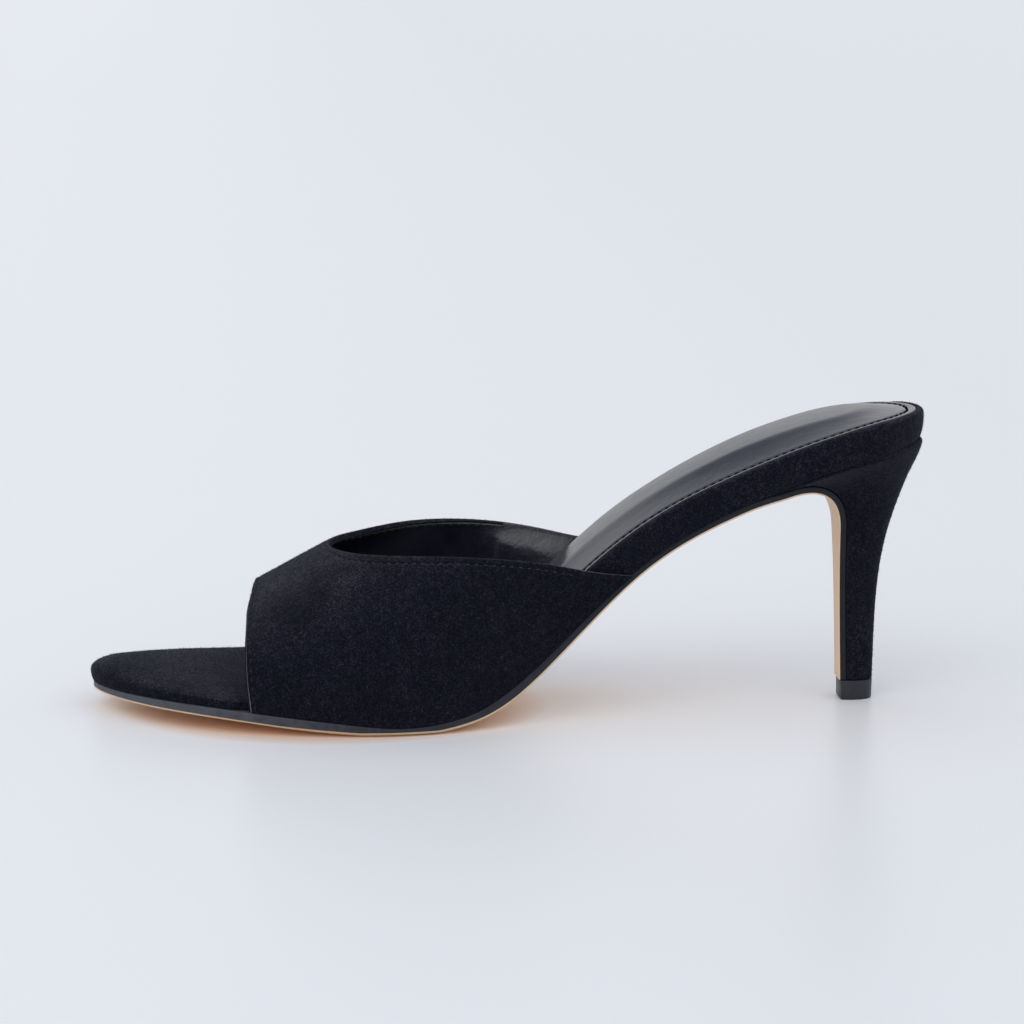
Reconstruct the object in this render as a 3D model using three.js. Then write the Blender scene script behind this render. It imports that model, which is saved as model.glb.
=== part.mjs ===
// A heeled mule sandal for the left foot: a thin sole board, a padded footbed with its smooth sock, one hollow
// upper over the forefoot, a slim flared heel and its top piece. Millimetres. While the shoe is built, x runs
// from the heel back to the toe tip, y towards the outer side of the foot and z up from the floor.
import * as THREE from "three";

// Driving sizes.
const TOE_X = 225.4; // heel back to toe tip, along the floor
const TOE_ROUND = 0.6; // bluntness of the toe in plan
const TOE_Y = -4.5; // the toe tip lies on the inner side of the heel's axis
const HEEL_ROUND = 28; // length of the rounded heel end in plan
const SEAT_HALF = 22.2; // half width of the heel seat
const OUTER_BALL = { x: 148, y: 37 }; // widest place on the outer side
const INNER_BALL = { x: 164, y: -35.5 }; // widest place on the inner side
const GAP = 0.3; // clearance between neighbouring pieces
const WALL = 1.7; // upper: suede and lining together
const WING_WALL = 1.1; // thinned towards the ends of its wings
const WING_RUN = { from: 82, to: 115 }; // over this stretch
const WING_CLEAR = 0.2; // they stand off the footbed by this much more
const THROAT_RUN = { from: 0.4, to: 0.6 }; // share of the way round over which the sides' toplines join
const SOLE_BEVEL = 0.7; // height of the bevel under the sole edge
const SOLE_BEVEL_IN = 1.1; // and its width
const SOLE_TUCK = 0.9; // the sole edge lies inside the shoe's side along the shank
const TUCK_RUN = { from: 92, to: 126 }; // and comes out to it over this stretch
const SOLE_TIP_INSET = 0.7; // the sole edge lies inside the footbed's nose at the toe tip
const WRAP = 2.1; // the footbed lies this far inside the sole edge under the upper
const WRAP_RUN = { from: 74, to: 96 }; // it draws in over this stretch
const TOE_INSET = 0.7; // and this far at the bare toe
const BARE_RUN = { from: 1.5, to: 5.5 }; // it widens again over this stretch in front of the upper
const TIP_RUN = { from: 205, to: 225 }; // and all edges change over this stretch to the toe tip
const SOCK_T = 1.3; // sock at the middle
const SOCK_RIM = 1.0; // sock at its rim
const SOCK_INSET = 2.2; // the footbed's rounded rim shows outside the sock
const SOCK_FRONT_X = 172; // the sock ends under the upper
const HEEL_LEAN = 0.1; // radians by which the band at the heel back leans backwards
const LEAN_RUN = 34; // stretch from the heel back over which it straightens up
const SPLIT_X = 52; // the sole leaves the footbed here and runs towards the heel breast
const LIP_X = 42; // the heel's front lip ends here
const NOSE = { middle: 2.8, above: 8, below: 1.6 }; // toe nose: mid height, and how far it rounds off
const DOME = { heel: 3.2, toe: 2.0, from: 120, to: 180 }; // roundness of the footbed across
const TOP_PIECE_H = 5.5; // heel lift
const TOP_PIECE_FRONT = 20.85; // it ends a little behind the flap's face
const BREAST_Z = 48.2; // the flap runs straight below this height
const FLAP_T = 1.9; // sole thickness on the heel breast
const FLAP_BEVEL = 0.25; // height of the bevel there
const FLAP_RUN = { from: 0.5, to: 0.9 }; // shares of the breast path over which it thins
const SHANK_PULL = 10; // how far the breast curve follows the shank
const FLAP_PULL = 19.5; // and how far it follows the flap
const TIP = { back: 11.7, front: 19.5, half: 4.0 }; // heel section just above the top piece
const BREAST_X = 21.05; // heel breast where the flap starts to curve
const FRONT_SHARE = 0.95; // heel breast width over its widest section
const BACK_SWEEP = 2.65; // how late the heel back swings out to the seat
const SIDE_SWEEP = 3.7; // how late its sides do
const SEAT_SWEEP = 6; // how late its top takes the curve of the seat
const SECTION_POWER = 2.2; // roundness of the upper's cross sections
const SECTION_BULGE = 2.8; // the upper's sides swell over the sole edge
const FOOT_RUN = { from: 0, to: 0.35 }; // share of its height over which the wall turns up from the sole
const FRONT_SKEW = 0.09; // the upper's front edge runs square to the forefoot, which points to the inner side
const FRONT_FOOT = { outer: 182.4, inner: 176.6 }; // where the upper's front edge meets the sole

// Top of the sole along the foot: height, sole thickness, and the footbed's side and middle heights above it.
const PROFILE = [
  { x: 0, z: 72.3, sole: 2.2, side: 7.2, middle: 8.1 },
  { x: 14, z: 70.7, sole: 2.2, side: 6.5, middle: 7.9 },
  { x: 28, z: 67.0, sole: 2.2, side: 6.0, middle: 7.9 },
  { x: 45, z: 60.4, sole: 2.2, side: 5.8, middle: 8.0 },
  { x: 62, z: 52.5, sole: 2.2, side: 5.8, middle: 8.0 },
  { x: 79, z: 41.5, sole: 2.3, side: 5.9, middle: 8.1 },
  { x: 96, z: 25.9, sole: 2.5, side: 6.0, middle: 8.2 },
  { x: 113, z: 11.0, sole: 2.6, side: 5.8, middle: 8.0 },
  { x: 122, z: 5.7, sole: 2.6, side: 5.5, middle: 7.6 },
  { x: 131, z: 3.2, sole: 2.6, side: 5.1, middle: 7.2 },
  { x: 143, z: 2.3, sole: 2.6, side: 4.6, middle: 6.7 },
  { x: 157, z: 3.4, sole: 2.6, side: 3.9, middle: 5.9 },
  { x: 173, z: 5.0, sole: 2.6, side: 2.8, middle: 5.1 },
  { x: 189, z: 6.2, sole: 2.6, side: 1.9, middle: 4.7 },
  { x: 206, z: 6.8, sole: 2.5, side: 2.0, middle: 5.5 },
  { x: 225.4, z: 7.0, sole: 2.3, side: 2.3, middle: 6.2 },
];

// Plan half widths between the heel round and the ball on either side.
const OUTER_WAIST = [
  { x: HEEL_ROUND, y: SEAT_HALF },
  { x: 60, y: 21.6 },
  { x: 90, y: 22.9 },
  { x: 115, y: 29.0 },
  { x: 132, y: 34.6 },
  { x: OUTER_BALL.x, y: OUTER_BALL.y },
];
const INNER_WAIST = [
  { x: HEEL_ROUND, y: -SEAT_HALF },
  { x: 60, y: -20.6 },
  { x: 92, y: -20.4 },
  { x: 118, y: -24.6 },
  { x: 142, y: -31.6 },
  { x: INNER_BALL.x, y: INNER_BALL.y },
];

// Ridge of the upper's last: its height and its offset towards the inner side.
const RIDGE = [
  { x: 74, z: 100, y: -2 },
  { x: 100, z: 80.5, y: -2 },
  { x: 125, z: 63.2, y: -3 },
  { x: 150, z: 48.0, y: -4 },
  { x: 163, z: 40.9, y: -4 },
  { x: 180, z: 31.4, y: -4 },
  { x: 190, z: 25.8, y: -4 },
];

// Height of the topline on either side, from the ends of the wings to the throat.
const TOPLINE = [
  { x: 72, outer: 37.4, inner: 37.8 },
  { x: 82, outer: 38.9, inner: 39.6 },
  { x: 92, outer: 40.4, inner: 41.2 },
  { x: 103, outer: 43.0, inner: 43.4 },
  { x: 115, outer: 44.6, inner: 45.0 },
  { x: 128, outer: 45.0, inner: 45.4 },
  { x: 142, outer: 44.1, inner: 44.3 },
  { x: 154, outer: 42.8, inner: 42.4 },
  { x: 161, outer: 41.8, inner: 41.7 },
  { x: 170, outer: 39.0, inner: 39.0 },
  { x: 186, outer: 32.0, inner: 32.0 },
];

// Front edge of the upper: how far forward it lies, from the sole edge (share 0) to the ridge (share 1).
const FRONT_EDGE = [
  { x: 0, forward: 182.4 },
  { x: 0.25, forward: 182.8 },
  { x: 0.55, forward: 183.0 },
  { x: 0.8, forward: 183.2 },
  { x: 0.9, forward: 183.05 },
  { x: 0.956, forward: 182.5 },
  { x: 0.99, forward: 181.6 },
  { x: 1, forward: 181.2 },
];

// A smooth cubic through a table's column. With level set, it leaves and arrives without slope.
function curve(rows, column, level = false) {
  const xs = rows.map((row) => row.x);
  const ys = rows.map((row) => row[column]);
  const last = xs.length - 1;
  const width = (i) => xs[i + 1] - xs[i];
  const rise = (i) => (ys[i + 1] - ys[i]) / width(i);
  const over = [level ? 0.5 : 0];
  const bend = [level ? (3 * rise(0)) / width(0) : 0];
  for (let i = 1; i <= last; i++) {
    const open = i < last;
    const before = open || level ? width(i - 1) : 0;
    const own = open ? 2 * (width(i - 1) + width(i)) : level ? 2 * width(i - 1) : 1;
    const want = open ? 6 * (rise(i) - rise(i - 1)) : level ? -6 * rise(i - 1) : 0;
    const rest = own - before * over[i - 1];
    over.push(open ? width(i) / rest : 0);
    bend.push((want - before * bend[i - 1]) / rest);
  }
  for (let i = last - 1; i >= 0; i--) {
    bend[i] -= over[i] * bend[i + 1];
  }
  return (value) => {
    const x = THREE.MathUtils.clamp(value, xs[0], xs[last]);
    let i = 0;
    while (i < last - 1 && x > xs[i + 1]) {
      i++;
    }
    const w = width(i);
    const a = (xs[i + 1] - x) / w;
    const b = 1 - a;
    const sag = ((a ** 3 - a) * bend[i] + (b ** 3 - b) * bend[i + 1]) * (w * w) / 6;
    return a * ys[i] + b * ys[i + 1] + sag;
  };
}

const ramp = (x, { from, to }) => THREE.MathUtils.smoothstep(x, from, to);
const mix = (a, b, t) => a + (b - a) * t;
const soleTop = curve(PROFILE, "z");
const soleThickness = curve(PROFILE, "sole");
const footbedSide = curve(PROFILE, "side");
const footbedMiddle = curve(PROFILE, "middle");
const outerWaist = curve(OUTER_WAIST, "y", true);
const innerWaist = curve(INNER_WAIST, "y", true);
const ridgeZ = curve(RIDGE, "z");
const ridgeY = curve(RIDGE, "y");
const outerTopline = curve(TOPLINE, "outer");
const innerTopline = curve(TOPLINE, "inner");
const frontEdge = curve(FRONT_EDGE, "forward");

// Edge of the shoe in plan on one side (+1 outer, -1 inner), drawn in by an inset.
function edge(x, side, inset = 0) {
  const ball = side > 0 ? OUTER_BALL : INNER_BALL;
  const waist = side > 0 ? outerWaist : innerWaist;
  if (x < HEEL_ROUND) {
    const u = Math.min((HEEL_ROUND - x) / (HEEL_ROUND - inset), 1);
    return side * (SEAT_HALF - inset) * Math.sqrt(1 - u * u);
  }
  if (x <= ball.x) {
    return waist(x) - side * inset;
  }
  const u = Math.min((x - ball.x) / (TOE_X - inset - ball.x), 1);
  return TOE_Y + (ball.y - side * inset - TOE_Y) * (1 - u * u) ** TOE_ROUND;
}

// Insets of the footbed and of the sole along the foot.
function footbedInset(x, side) {
  const front = side > 0 ? FRONT_FOOT.outer : FRONT_FOOT.inner;
  const bare = ramp(x - front, BARE_RUN);
  return WRAP * ramp(x, WRAP_RUN) * (1 - bare) + TOE_INSET * bare * (1 - ramp(x, TIP_RUN));
}
const soleInset = (x) => mix(SOLE_TUCK, 0, ramp(x, TUCK_RUN)) + SOLE_TIP_INSET * ramp(x, TIP_RUN);

// Edge of the footbed on one side, drawn in by a further inset.
const footbedEdge = (x, side, more = 0) => edge(x, side, footbedInset(x, side) + more);

const SMALL = 0.01; // step for slopes
const soleSlope = (x) => (soleTop(x + SMALL) - soleTop(x - SMALL)) / (2 * SMALL);

// A point over the sole: x along the foot, y across it, h off the sole's top.
function over(x, y, h) {
  const tilt = Math.atan(-soleSlope(x)) - HEEL_LEAN * (1 - ramp(x, { from: 0, to: LEAN_RUN }));
  return new THREE.Vector3(x + h * Math.sin(tilt), y, soleTop(x) + h * Math.cos(tilt));
}

// Stations along the foot, crowded towards the rounded ends.
const END_RUN = 14;
const END_SHARES = [0.0, 0.012, 0.05, 0.11, 0.2, 0.32, 0.46, 0.63, 0.81];

function stations(from, to, step, heelEnd, toeEnd) {
  const begin = heelEnd ? from + END_RUN : from;
  const end = toeEnd ? to - END_RUN : to;
  const count = Math.ceil((end - begin) / step);
  const heel = heelEnd ? END_SHARES.map((share) => from + END_RUN * share) : [];
  const toe = toeEnd ? END_SHARES.map((share) => to - END_RUN * share).reverse() : [];
  const middle = Array.from({ length: count + 1 }, (_, i) => mix(begin, end, i / count));
  return [...heel, ...middle, ...toe];
}

// One closed body from a list of points and triangles, turned so that its faces point out.
function body(points, triangles) {
  let volume = 0;
  for (let i = 0; i < triangles.length; i += 3) {
    const [a, b, c] = [points[triangles[i]], points[triangles[i + 1]], points[triangles[i + 2]]];
    volume += a.dot(new THREE.Vector3().crossVectors(b, c));
  }
  const index = volume > 0 ? triangles : [...triangles].reverse();
  const geometry = new THREE.BufferGeometry().setFromPoints(points);
  geometry.setIndex(index);
  geometry.computeVertexNormals();
  return geometry;
}

// A body through closed rings of the same count, with a fan over each end.
function loft(rings) {
  const count = rings[0].length;
  const points = rings.flat();
  const triangles = [];
  for (let i = 0; i + 1 < rings.length; i++) {
    for (let j = 0; j < count; j++) {
      const a = i * count + j;
      const b = i * count + ((j + 1) % count);
      triangles.push(a, b, a + count, b, b + count, a + count);
    }
  }
  const fan = (start, flip) => {
    const middle = new THREE.Vector3();
    points.slice(start, start + count).forEach((p) => middle.addScaledVector(p, 1 / count));
    points.push(middle);
    for (let j = 0; j < count; j++) {
      const a = start + j;
      const b = start + ((j + 1) % count);
      triangles.push(...(flip ? [b, a, points.length - 1] : [a, b, points.length - 1]));
    }
  };
  const lastRing = (rings.length - 1) * count;
  fan(0, true);
  fan(lastRing, false);
  return body(points, triangles);
}

// A body between two grids of the same size, joined round their borders.
function slab(outer, inner) {
  const rows = outer.length;
  const cols = outer[0].length;
  const points = [...outer.flat(), ...inner.flat()];
  const far = rows * cols;
  const triangles = [];
  const quad = (a, b, c, d) => triangles.push(a, b, c, a, c, d);
  for (let i = 0; i + 1 < rows; i++) {
    for (let j = 0; j + 1 < cols; j++) {
      const a = i * cols + j;
      quad(a, a + 1, a + cols + 1, a + cols);
      quad(far + a, far + a + cols, far + a + cols + 1, far + a + 1);
    }
  }
  const rim = [];
  for (let j = 0; j + 1 < cols; j++) {
    rim.push(j);
  }
  for (let i = 0; i + 1 < rows; i++) {
    rim.push(i * cols + cols - 1);
  }
  for (let j = cols - 1; j > 0; j--) {
    rim.push((rows - 1) * cols + j);
  }
  for (let i = rows - 1; i > 0; i--) {
    rim.push(i * cols);
  }
  rim.forEach((a, k) => {
    const b = rim[(k + 1) % rim.length];
    quad(b, a, far + a, far + b);
  });
  return body(points, triangles);
}

// Heights of the footbed near the toe nose, which closes in a rounded end.
function nose(x, h) {
  const reach = h > NOSE.middle ? NOSE.above : NOSE.below;
  const u = THREE.MathUtils.clamp((x - TOE_X) / reach + 1, 0, 1);
  return mix(NOSE.middle, h, Math.sqrt(1 - u * u));
}

const DOME_STEPS = 14;
const DOME_SPREAD = 0.8; // gathers the steps towards the rims
const LENGTH_STEP = 5.2;
const END_CLEAR = 0.03; // the end rings keep this off the very tips
const domePower = (x) => mix(DOME.heel, DOME.toe, ramp(x, DOME));

// Height of the footbed's top at x, at a place across it from -1 to 1.
function footbedTop(x, place) {
  const back = Math.max((HEEL_ROUND - x) / HEEL_ROUND, 0);
  const out = Math.min(Math.hypot(back, place * Math.sqrt(1 - back * back)), 1);
  const power = domePower(x);
  return mix(footbedSide(x), footbedMiddle(x), (1 - out ** power) ** (1 / power));
}

// A line across the footbed from the outer rim to the inner one, at a height given for each place.
function across(x, more, height) {
  const outer = footbedEdge(x, 1, more);
  const inner = footbedEdge(x, -1, more);
  const line = [];
  for (let k = 0; k <= DOME_STEPS; k++) {
    const place = Math.sign(DOME_STEPS / 2 - k) * Math.abs(Math.cos(Math.PI * k / DOME_STEPS)) ** DOME_SPREAD;
    line.push(over(x, mix(inner, outer, (place + 1) / 2), height(place)));
  }
  return line;
}

function footbed() {
  const fronts = Object.values(FRONT_FOOT).map((x) => x + BARE_RUN.from);
  const places = [...stations(END_CLEAR, TOE_X - END_CLEAR, LENGTH_STEP, true, true), ...fronts];
  const rings = places.sort((a, b) => a - b).map((x) => {
    const foot = nose(x, GAP);
    const line = across(x, 0, (place) => nose(x, footbedTop(x, place)));
    return [over(x, footbedEdge(x, 1), foot), ...line, over(x, footbedEdge(x, -1), foot)];
  });
  return loft(rings);
}

function sock() {
  const rows = stations(SOCK_INSET + END_CLEAR, SOCK_FRONT_X, LENGTH_STEP, true, false);
  const layer = (rim, middle) => rows.map((x) => {
    const whole = footbedEdge(x, 1) - footbedEdge(x, -1);
    const share = (footbedEdge(x, 1, SOCK_INSET) - footbedEdge(x, -1, SOCK_INSET)) / whole;
    return across(x, SOCK_INSET, (place) => footbedTop(x, place * share) + GAP + mix(middle, rim, place ** 4));
  });
  return slab(layer(SOCK_RIM, SOCK_T), layer(0, 0));
}

// Sole path from the shank over the breast curve down to the top piece: share 0 at the top piece, 1 at SPLIT_X.
const BREAST = (() => {
  const start = new THREE.Vector2(SPLIT_X, soleTop(SPLIT_X));
  const back = new THREE.Vector2(-1, -soleSlope(SPLIT_X)).setLength(SHANK_PULL);
  const end = new THREE.Vector2(BREAST_X, BREAST_Z);
  const foot = new THREE.Vector2(TIP.front, TOP_PIECE_H + GAP);
  const path = new THREE.CurvePath();
  const drop = foot.clone().sub(end).normalize();
  path.add(new THREE.LineCurve(foot, end));
  const pull = end.clone().addScaledVector(drop, -FLAP_PULL);
  path.add(new THREE.CubicBezierCurve(end, pull, start.clone().add(back), start));
  return path;
})();

// A point and the direction towards the heel at a share of the breast path.
function breast(share) {
  const at = BREAST.getPointAt(share);
  const before = BREAST.getPointAt(Math.max(share - SMALL / 2, 0));
  const after = BREAST.getPointAt(Math.min(share + SMALL / 2, 1));
  const run = after.sub(before).normalize();
  return { at, inward: new THREE.Vector2(-run.y, run.x) };
}

// Share of the breast path at which the heel's lip ends.
const LIP_SHARE = (() => {
  let low = 0.5;
  let high = 1;
  for (let i = 0; i < 40; i++) {
    const middle = (low + high) / 2;
    if (BREAST.getPointAt(middle).x < LIP_X - 1) {
      low = middle;
    } else {
      high = middle;
    }
  }
  return low;
})();

const heelHalf = (v) => mix(TIP.half, SEAT_HALF, v ** SIDE_SWEEP);

// Sole section: square edge band above a bevel. The tread is ground flat where it meets the floor.
function soleRing(top, down, outer, inner, thickness, bevelHeight) {
  const row = (y, h) => new THREE.Vector3(top.x + down.x * h, y, Math.max(top.y + down.y * h, 0));
  const band = thickness - bevelHeight;
  const bevel = Math.min(SOLE_BEVEL_IN * bevelHeight / SOLE_BEVEL, (outer - inner) * 0.3);
  return [
    row(outer, 0),
    row(outer, band),
    row(outer - bevel, thickness),
    row(inner + bevel, thickness),
    row(inner, band),
    row(inner, 0),
  ];
}

const SOLE_STEP = 3.6;

function outsole() {
  const rings = [];
  const turns = 34;
  for (let i = 0; i < turns; i++) {
    const share = i / turns;
    const { at, inward } = breast(share);
    const half = FRONT_SHARE * heelHalf(share / LIP_SHARE);
    const outer = Math.min(half, edge(at.x, 1, SOLE_TUCK));
    const inner = Math.max(-half, edge(at.x, -1, SOLE_TUCK));
    const thickness = mix(FLAP_T, soleThickness(SPLIT_X), ramp(share, FLAP_RUN));
    const bevel = mix(FLAP_BEVEL, SOLE_BEVEL, ramp(share, FLAP_RUN));
    rings.push(soleRing(at, inward.negate(), outer, inner, thickness, bevel));
  }
  stations(SPLIT_X, TOE_X - SOLE_TIP_INSET - END_CLEAR, SOLE_STEP, false, true).forEach((x) => {
    const top = over(x, 0, 0);
    const below = over(x, 0, -1);
    const inset = soleInset(x);
    const down = new THREE.Vector2(below.x - top.x, below.z - top.z);
    const at = new THREE.Vector2(top.x, top.z);
    rings.push(soleRing(at, down, edge(x, 1, inset), edge(x, -1, inset), soleThickness(x), SOLE_BEVEL));
  });
  return loft(rings);
}

// Heel section at a height share v: a rounded back, straight sides and a flat breast.
function heelRing(v) {
  const back = new THREE.Vector2(mix(TIP.back, 0, v ** BACK_SWEEP), mix(TOP_PIECE_H + GAP, soleTop(0), v));
  const { at, inward } = breast(v * LIP_SHARE);
  const front = v < 1 ? at.addScaledVector(inward, GAP) : new THREE.Vector2(LIP_X, soleTop(LIP_X));
  const half = heelHalf(v);
  const round = HEEL_ROUND / LIP_X;
  const row = (share, y) => {
    const x = mix(back.x, front.x, share);
    const level = mix(back.y, front.y, share);
    const seat = soleTop(LIP_X * share) - mix(soleTop(0), soleTop(LIP_X), share);
    return new THREE.Vector3(x, y, level + seat * v ** SEAT_SWEEP);
  };
  const side = [];
  const turns = 9;
  for (let k = 1; k <= turns; k++) {
    const angle = Math.PI / 2 * k / turns;
    side.push([round * (1 - Math.cos(angle)), half * Math.sin(angle)]);
  }
  const straight = 4;
  for (let k = 1; k <= straight; k++) {
    const t = k / straight;
    side.push([mix(round, 1, t), half * mix(1, FRONT_SHARE, t * t)]);
  }
  const outer = side.map(([share, y]) => row(share, y));
  const inner = side.map(([share, y]) => row(share, -y)).reverse();
  return [row(0, 0), ...outer, ...inner];
}

// The heel: rings from the top piece to the seat, then the seat and the foot closed across.
function heel() {
  const rings = [];
  const turns = 30;
  const spread = 0.8;
  for (let i = 0; i <= turns; i++) {
    rings.push(heelRing((i / turns) ** spread));
  }
  const count = rings[0].length;
  const points = rings.flat();
  const triangles = [];
  for (let i = 0; i < turns; i++) {
    for (let j = 0; j < count; j++) {
      const a = i * count + j;
      const b = i * count + ((j + 1) % count);
      triangles.push(a, b, a + count, b, b + count, a + count);
    }
  }
  const close = (start, flip) => {
    const face = (a, b, c) => triangles.push(...(flip ? [c, b, a] : [a, b, c]).map((n) => start + n));
    face(0, 1, count - 1);
    for (let j = 1; j < (count - 1) / 2; j++) {
      face(j, j + 1, count - j);
      face(j + 1, count - j - 1, count - j);
    }
  };
  close(0, true);
  close(turns * count, false);
  return body(points, triangles);
}

// Lift under the heel and the flap: the heel's section with a worn-round lower edge.
function topPiece() {
  const LAYERS = [
    { z: 0, inset: 0.45 },
    { z: 0.2, inset: 0.15 },
    { z: 0.6, inset: 0 },
    { z: TOP_PIECE_H, inset: -0.1 },
  ];
  const back = TIP.back;
  const front = TOP_PIECE_FRONT;
  const turns = 14;
  const round = 0.62;
  const rings = LAYERS.map(({ z, inset }) => {
    const ring = [];
    for (let k = 0; k <= turns; k++) {
      const angle = Math.PI * (k / turns - 0.5);
      const x = mix(back + inset, front - inset, round * (1 - Math.cos(angle)));
      ring.push(new THREE.Vector3(x, (TIP.half - inset) * Math.sin(angle), z));
    }
    ring.push(new THREE.Vector3(front - inset, FRONT_SHARE * (TIP.half - inset), z));
    ring.push(new THREE.Vector3(front - inset, -FRONT_SHARE * (TIP.half - inset), z));
    return ring;
  });
  return loft(rings);
}

const wall = (x) => mix(WING_WALL, WALL, ramp(x, WING_RUN));

// The upper's lining in the plane x: angle 0 at the outer sole edge, half a turn at the inner one.
function upperLining(x, angle) {
  const side = angle <= Math.PI / 2 ? 1 : -1;
  const clear = GAP + WING_CLEAR * (1 - ramp(x, WING_RUN));
  const foot = footbedEdge(x, side) + side * clear;
  const base = soleTop(x) + GAP;
  const c = Math.abs(Math.cos(angle)) ** (2 / SECTION_POWER);
  const s = Math.sin(angle) ** (2 / SECTION_POWER);
  const swell = side * SECTION_BULGE * Math.abs(Math.sin(2 * angle));
  const y = ridgeY(x) + (foot - ridgeY(x) + swell) * c;
  return new THREE.Vector3(x, y, mix(base, ridgeZ(x), s));
}

// Its suede face, a wall's thickness outside the lining, straight outwards at the feet.
function upperFace(x, angle) {
  const a = THREE.MathUtils.clamp(angle, 2 * SMALL, Math.PI - 2 * SMALL);
  const along = upperLining(x + SMALL, a).sub(upperLining(x - SMALL, a));
  const around = upperLining(x, a + SMALL).sub(upperLining(x, a - SMALL));
  const outward = new THREE.Vector3().crossVectors(around, along);
  const rise = ramp(Math.sin(angle), FOOT_RUN);
  outward.multiply(new THREE.Vector3(rise, 1, rise)).normalize();
  return upperLining(x, angle).addScaledVector(outward, wall(x));
}

// Where a line round the upper meets the topline.
function backEdge(angle, front) {
  const inward = ramp(angle / Math.PI, THROAT_RUN);
  const topline = (x) => mix(outerTopline(x), innerTopline(x), inward);
  let low = RIDGE[0].x;
  let high = front - 1;
  for (let i = 0; i < 50; i++) {
    const middle = (low + high) / 2;
    if (upperLining(middle, angle).z > topline(middle)) {
      low = middle;
    } else {
      high = middle;
    }
  }
  return high;
}

function upper() {
  const around = 44;
  const along = 24;
  const crowd = 0.09; // gathers the lines towards both feet
  const plane = FRONT_FOOT.outer;
  const outer = [];
  const inner = [];
  for (let i = 0; i <= around; i++) {
    const t = i / around;
    const angle = THREE.MathUtils.clamp(Math.PI * (t - crowd * Math.sin(2 * Math.PI * t)), 0, Math.PI);
    const share = Math.sin(angle) ** (2 / SECTION_POWER);
    const width = upperLining(plane, Math.min(angle, Math.PI - angle)).y - upperLining(plane, angle).y;
    const front = frontEdge(share) - FRONT_SKEW * width;
    const back = backEdge(angle, front);
    const xs = Array.from({ length: along + 1 }, (_, j) => mix(front, back, j / along));
    outer.push(xs.map((x) => upperFace(x, angle)));
    inner.push(xs.map((x) => upperLining(x, angle)));
  }
  return slab(outer, inner);
}

const SUEDE = { color: 0x1f1e20, roughness: 0.95, metalness: 0 };
const LOOKS = {
  outsole: { color: 0x2c2b2d, roughness: 0.5, metalness: 0 },
  footbed: SUEDE,
  sock: { color: 0x161617, roughness: 0.45, metalness: 0 },
  upper: SUEDE,
  heel: SUEDE,
  top_piece: { color: 0x323133, roughness: 0.55, metalness: 0 },
};
const SHAPES = { outsole, footbed, sock, upper, heel, top_piece: topPiece };

const shoe = new THREE.Group();
shoe.name = "heeled_sandal";
const box = new THREE.Box3();
for (const [name, shape] of Object.entries(SHAPES)) {
  const mesh = new THREE.Mesh(shape(), new THREE.MeshStandardMaterial(LOOKS[name]));
  mesh.name = name;
  mesh.geometry.computeBoundingBox();
  box.union(mesh.geometry.boundingBox);
  shoe.add(mesh);
}

// The part's origin is the middle of its box, on the floor.
const centre = box.getCenter(new THREE.Vector3());
shoe.children.forEach((mesh) => mesh.geometry.translate(-centre.x, -centre.y, -box.min.z));

export default shoe;
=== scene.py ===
"""Looks of a heeled mule sandal: napped suede, smooth sock and lining, stitches and a painted sole edge."""
import math

import bmesh
import bpy
import numpy as np
from mathutils import Matrix, Vector


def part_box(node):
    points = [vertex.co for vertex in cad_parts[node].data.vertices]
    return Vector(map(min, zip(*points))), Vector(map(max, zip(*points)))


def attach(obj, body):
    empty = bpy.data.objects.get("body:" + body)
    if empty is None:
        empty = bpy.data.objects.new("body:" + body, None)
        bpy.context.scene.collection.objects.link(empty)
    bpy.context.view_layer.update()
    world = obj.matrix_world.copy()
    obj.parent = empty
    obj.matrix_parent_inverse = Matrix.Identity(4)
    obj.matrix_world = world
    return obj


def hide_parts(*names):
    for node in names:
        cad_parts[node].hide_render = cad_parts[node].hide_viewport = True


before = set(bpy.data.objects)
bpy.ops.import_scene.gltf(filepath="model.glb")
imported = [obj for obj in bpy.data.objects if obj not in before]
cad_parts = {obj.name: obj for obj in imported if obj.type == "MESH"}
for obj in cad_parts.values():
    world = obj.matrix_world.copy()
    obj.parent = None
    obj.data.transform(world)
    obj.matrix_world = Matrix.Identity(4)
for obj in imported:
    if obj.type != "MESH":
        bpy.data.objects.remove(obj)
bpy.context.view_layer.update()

# Sizes in millimetres: x from the heel back to the toe, y to the outer side, z up from the floor.
TOE_X = 225.4
TOE_Y = -4.5
TOE_ROUND = 0.6
HEEL_ROUND = 28.0
SEAT_HALF = 22.2
OUTER_BALL = (148.0, 37.0)
INNER_BALL = (164.0, -35.5)
GAP = 0.3
HEEL_LEAN = 0.1
LEAN_RUN = (0.0, 34.0)
SLOPE_STEP = 0.01
# Rounded ends: how far the last section stops short, and the stretch where sections crowd.
END_CLEAR, END_RUN = 0.03, 14.0


def table(names, *rows):
    """A short table as one array per named column."""
    return dict(zip(names.split(), np.array(rows, float).T))


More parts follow.
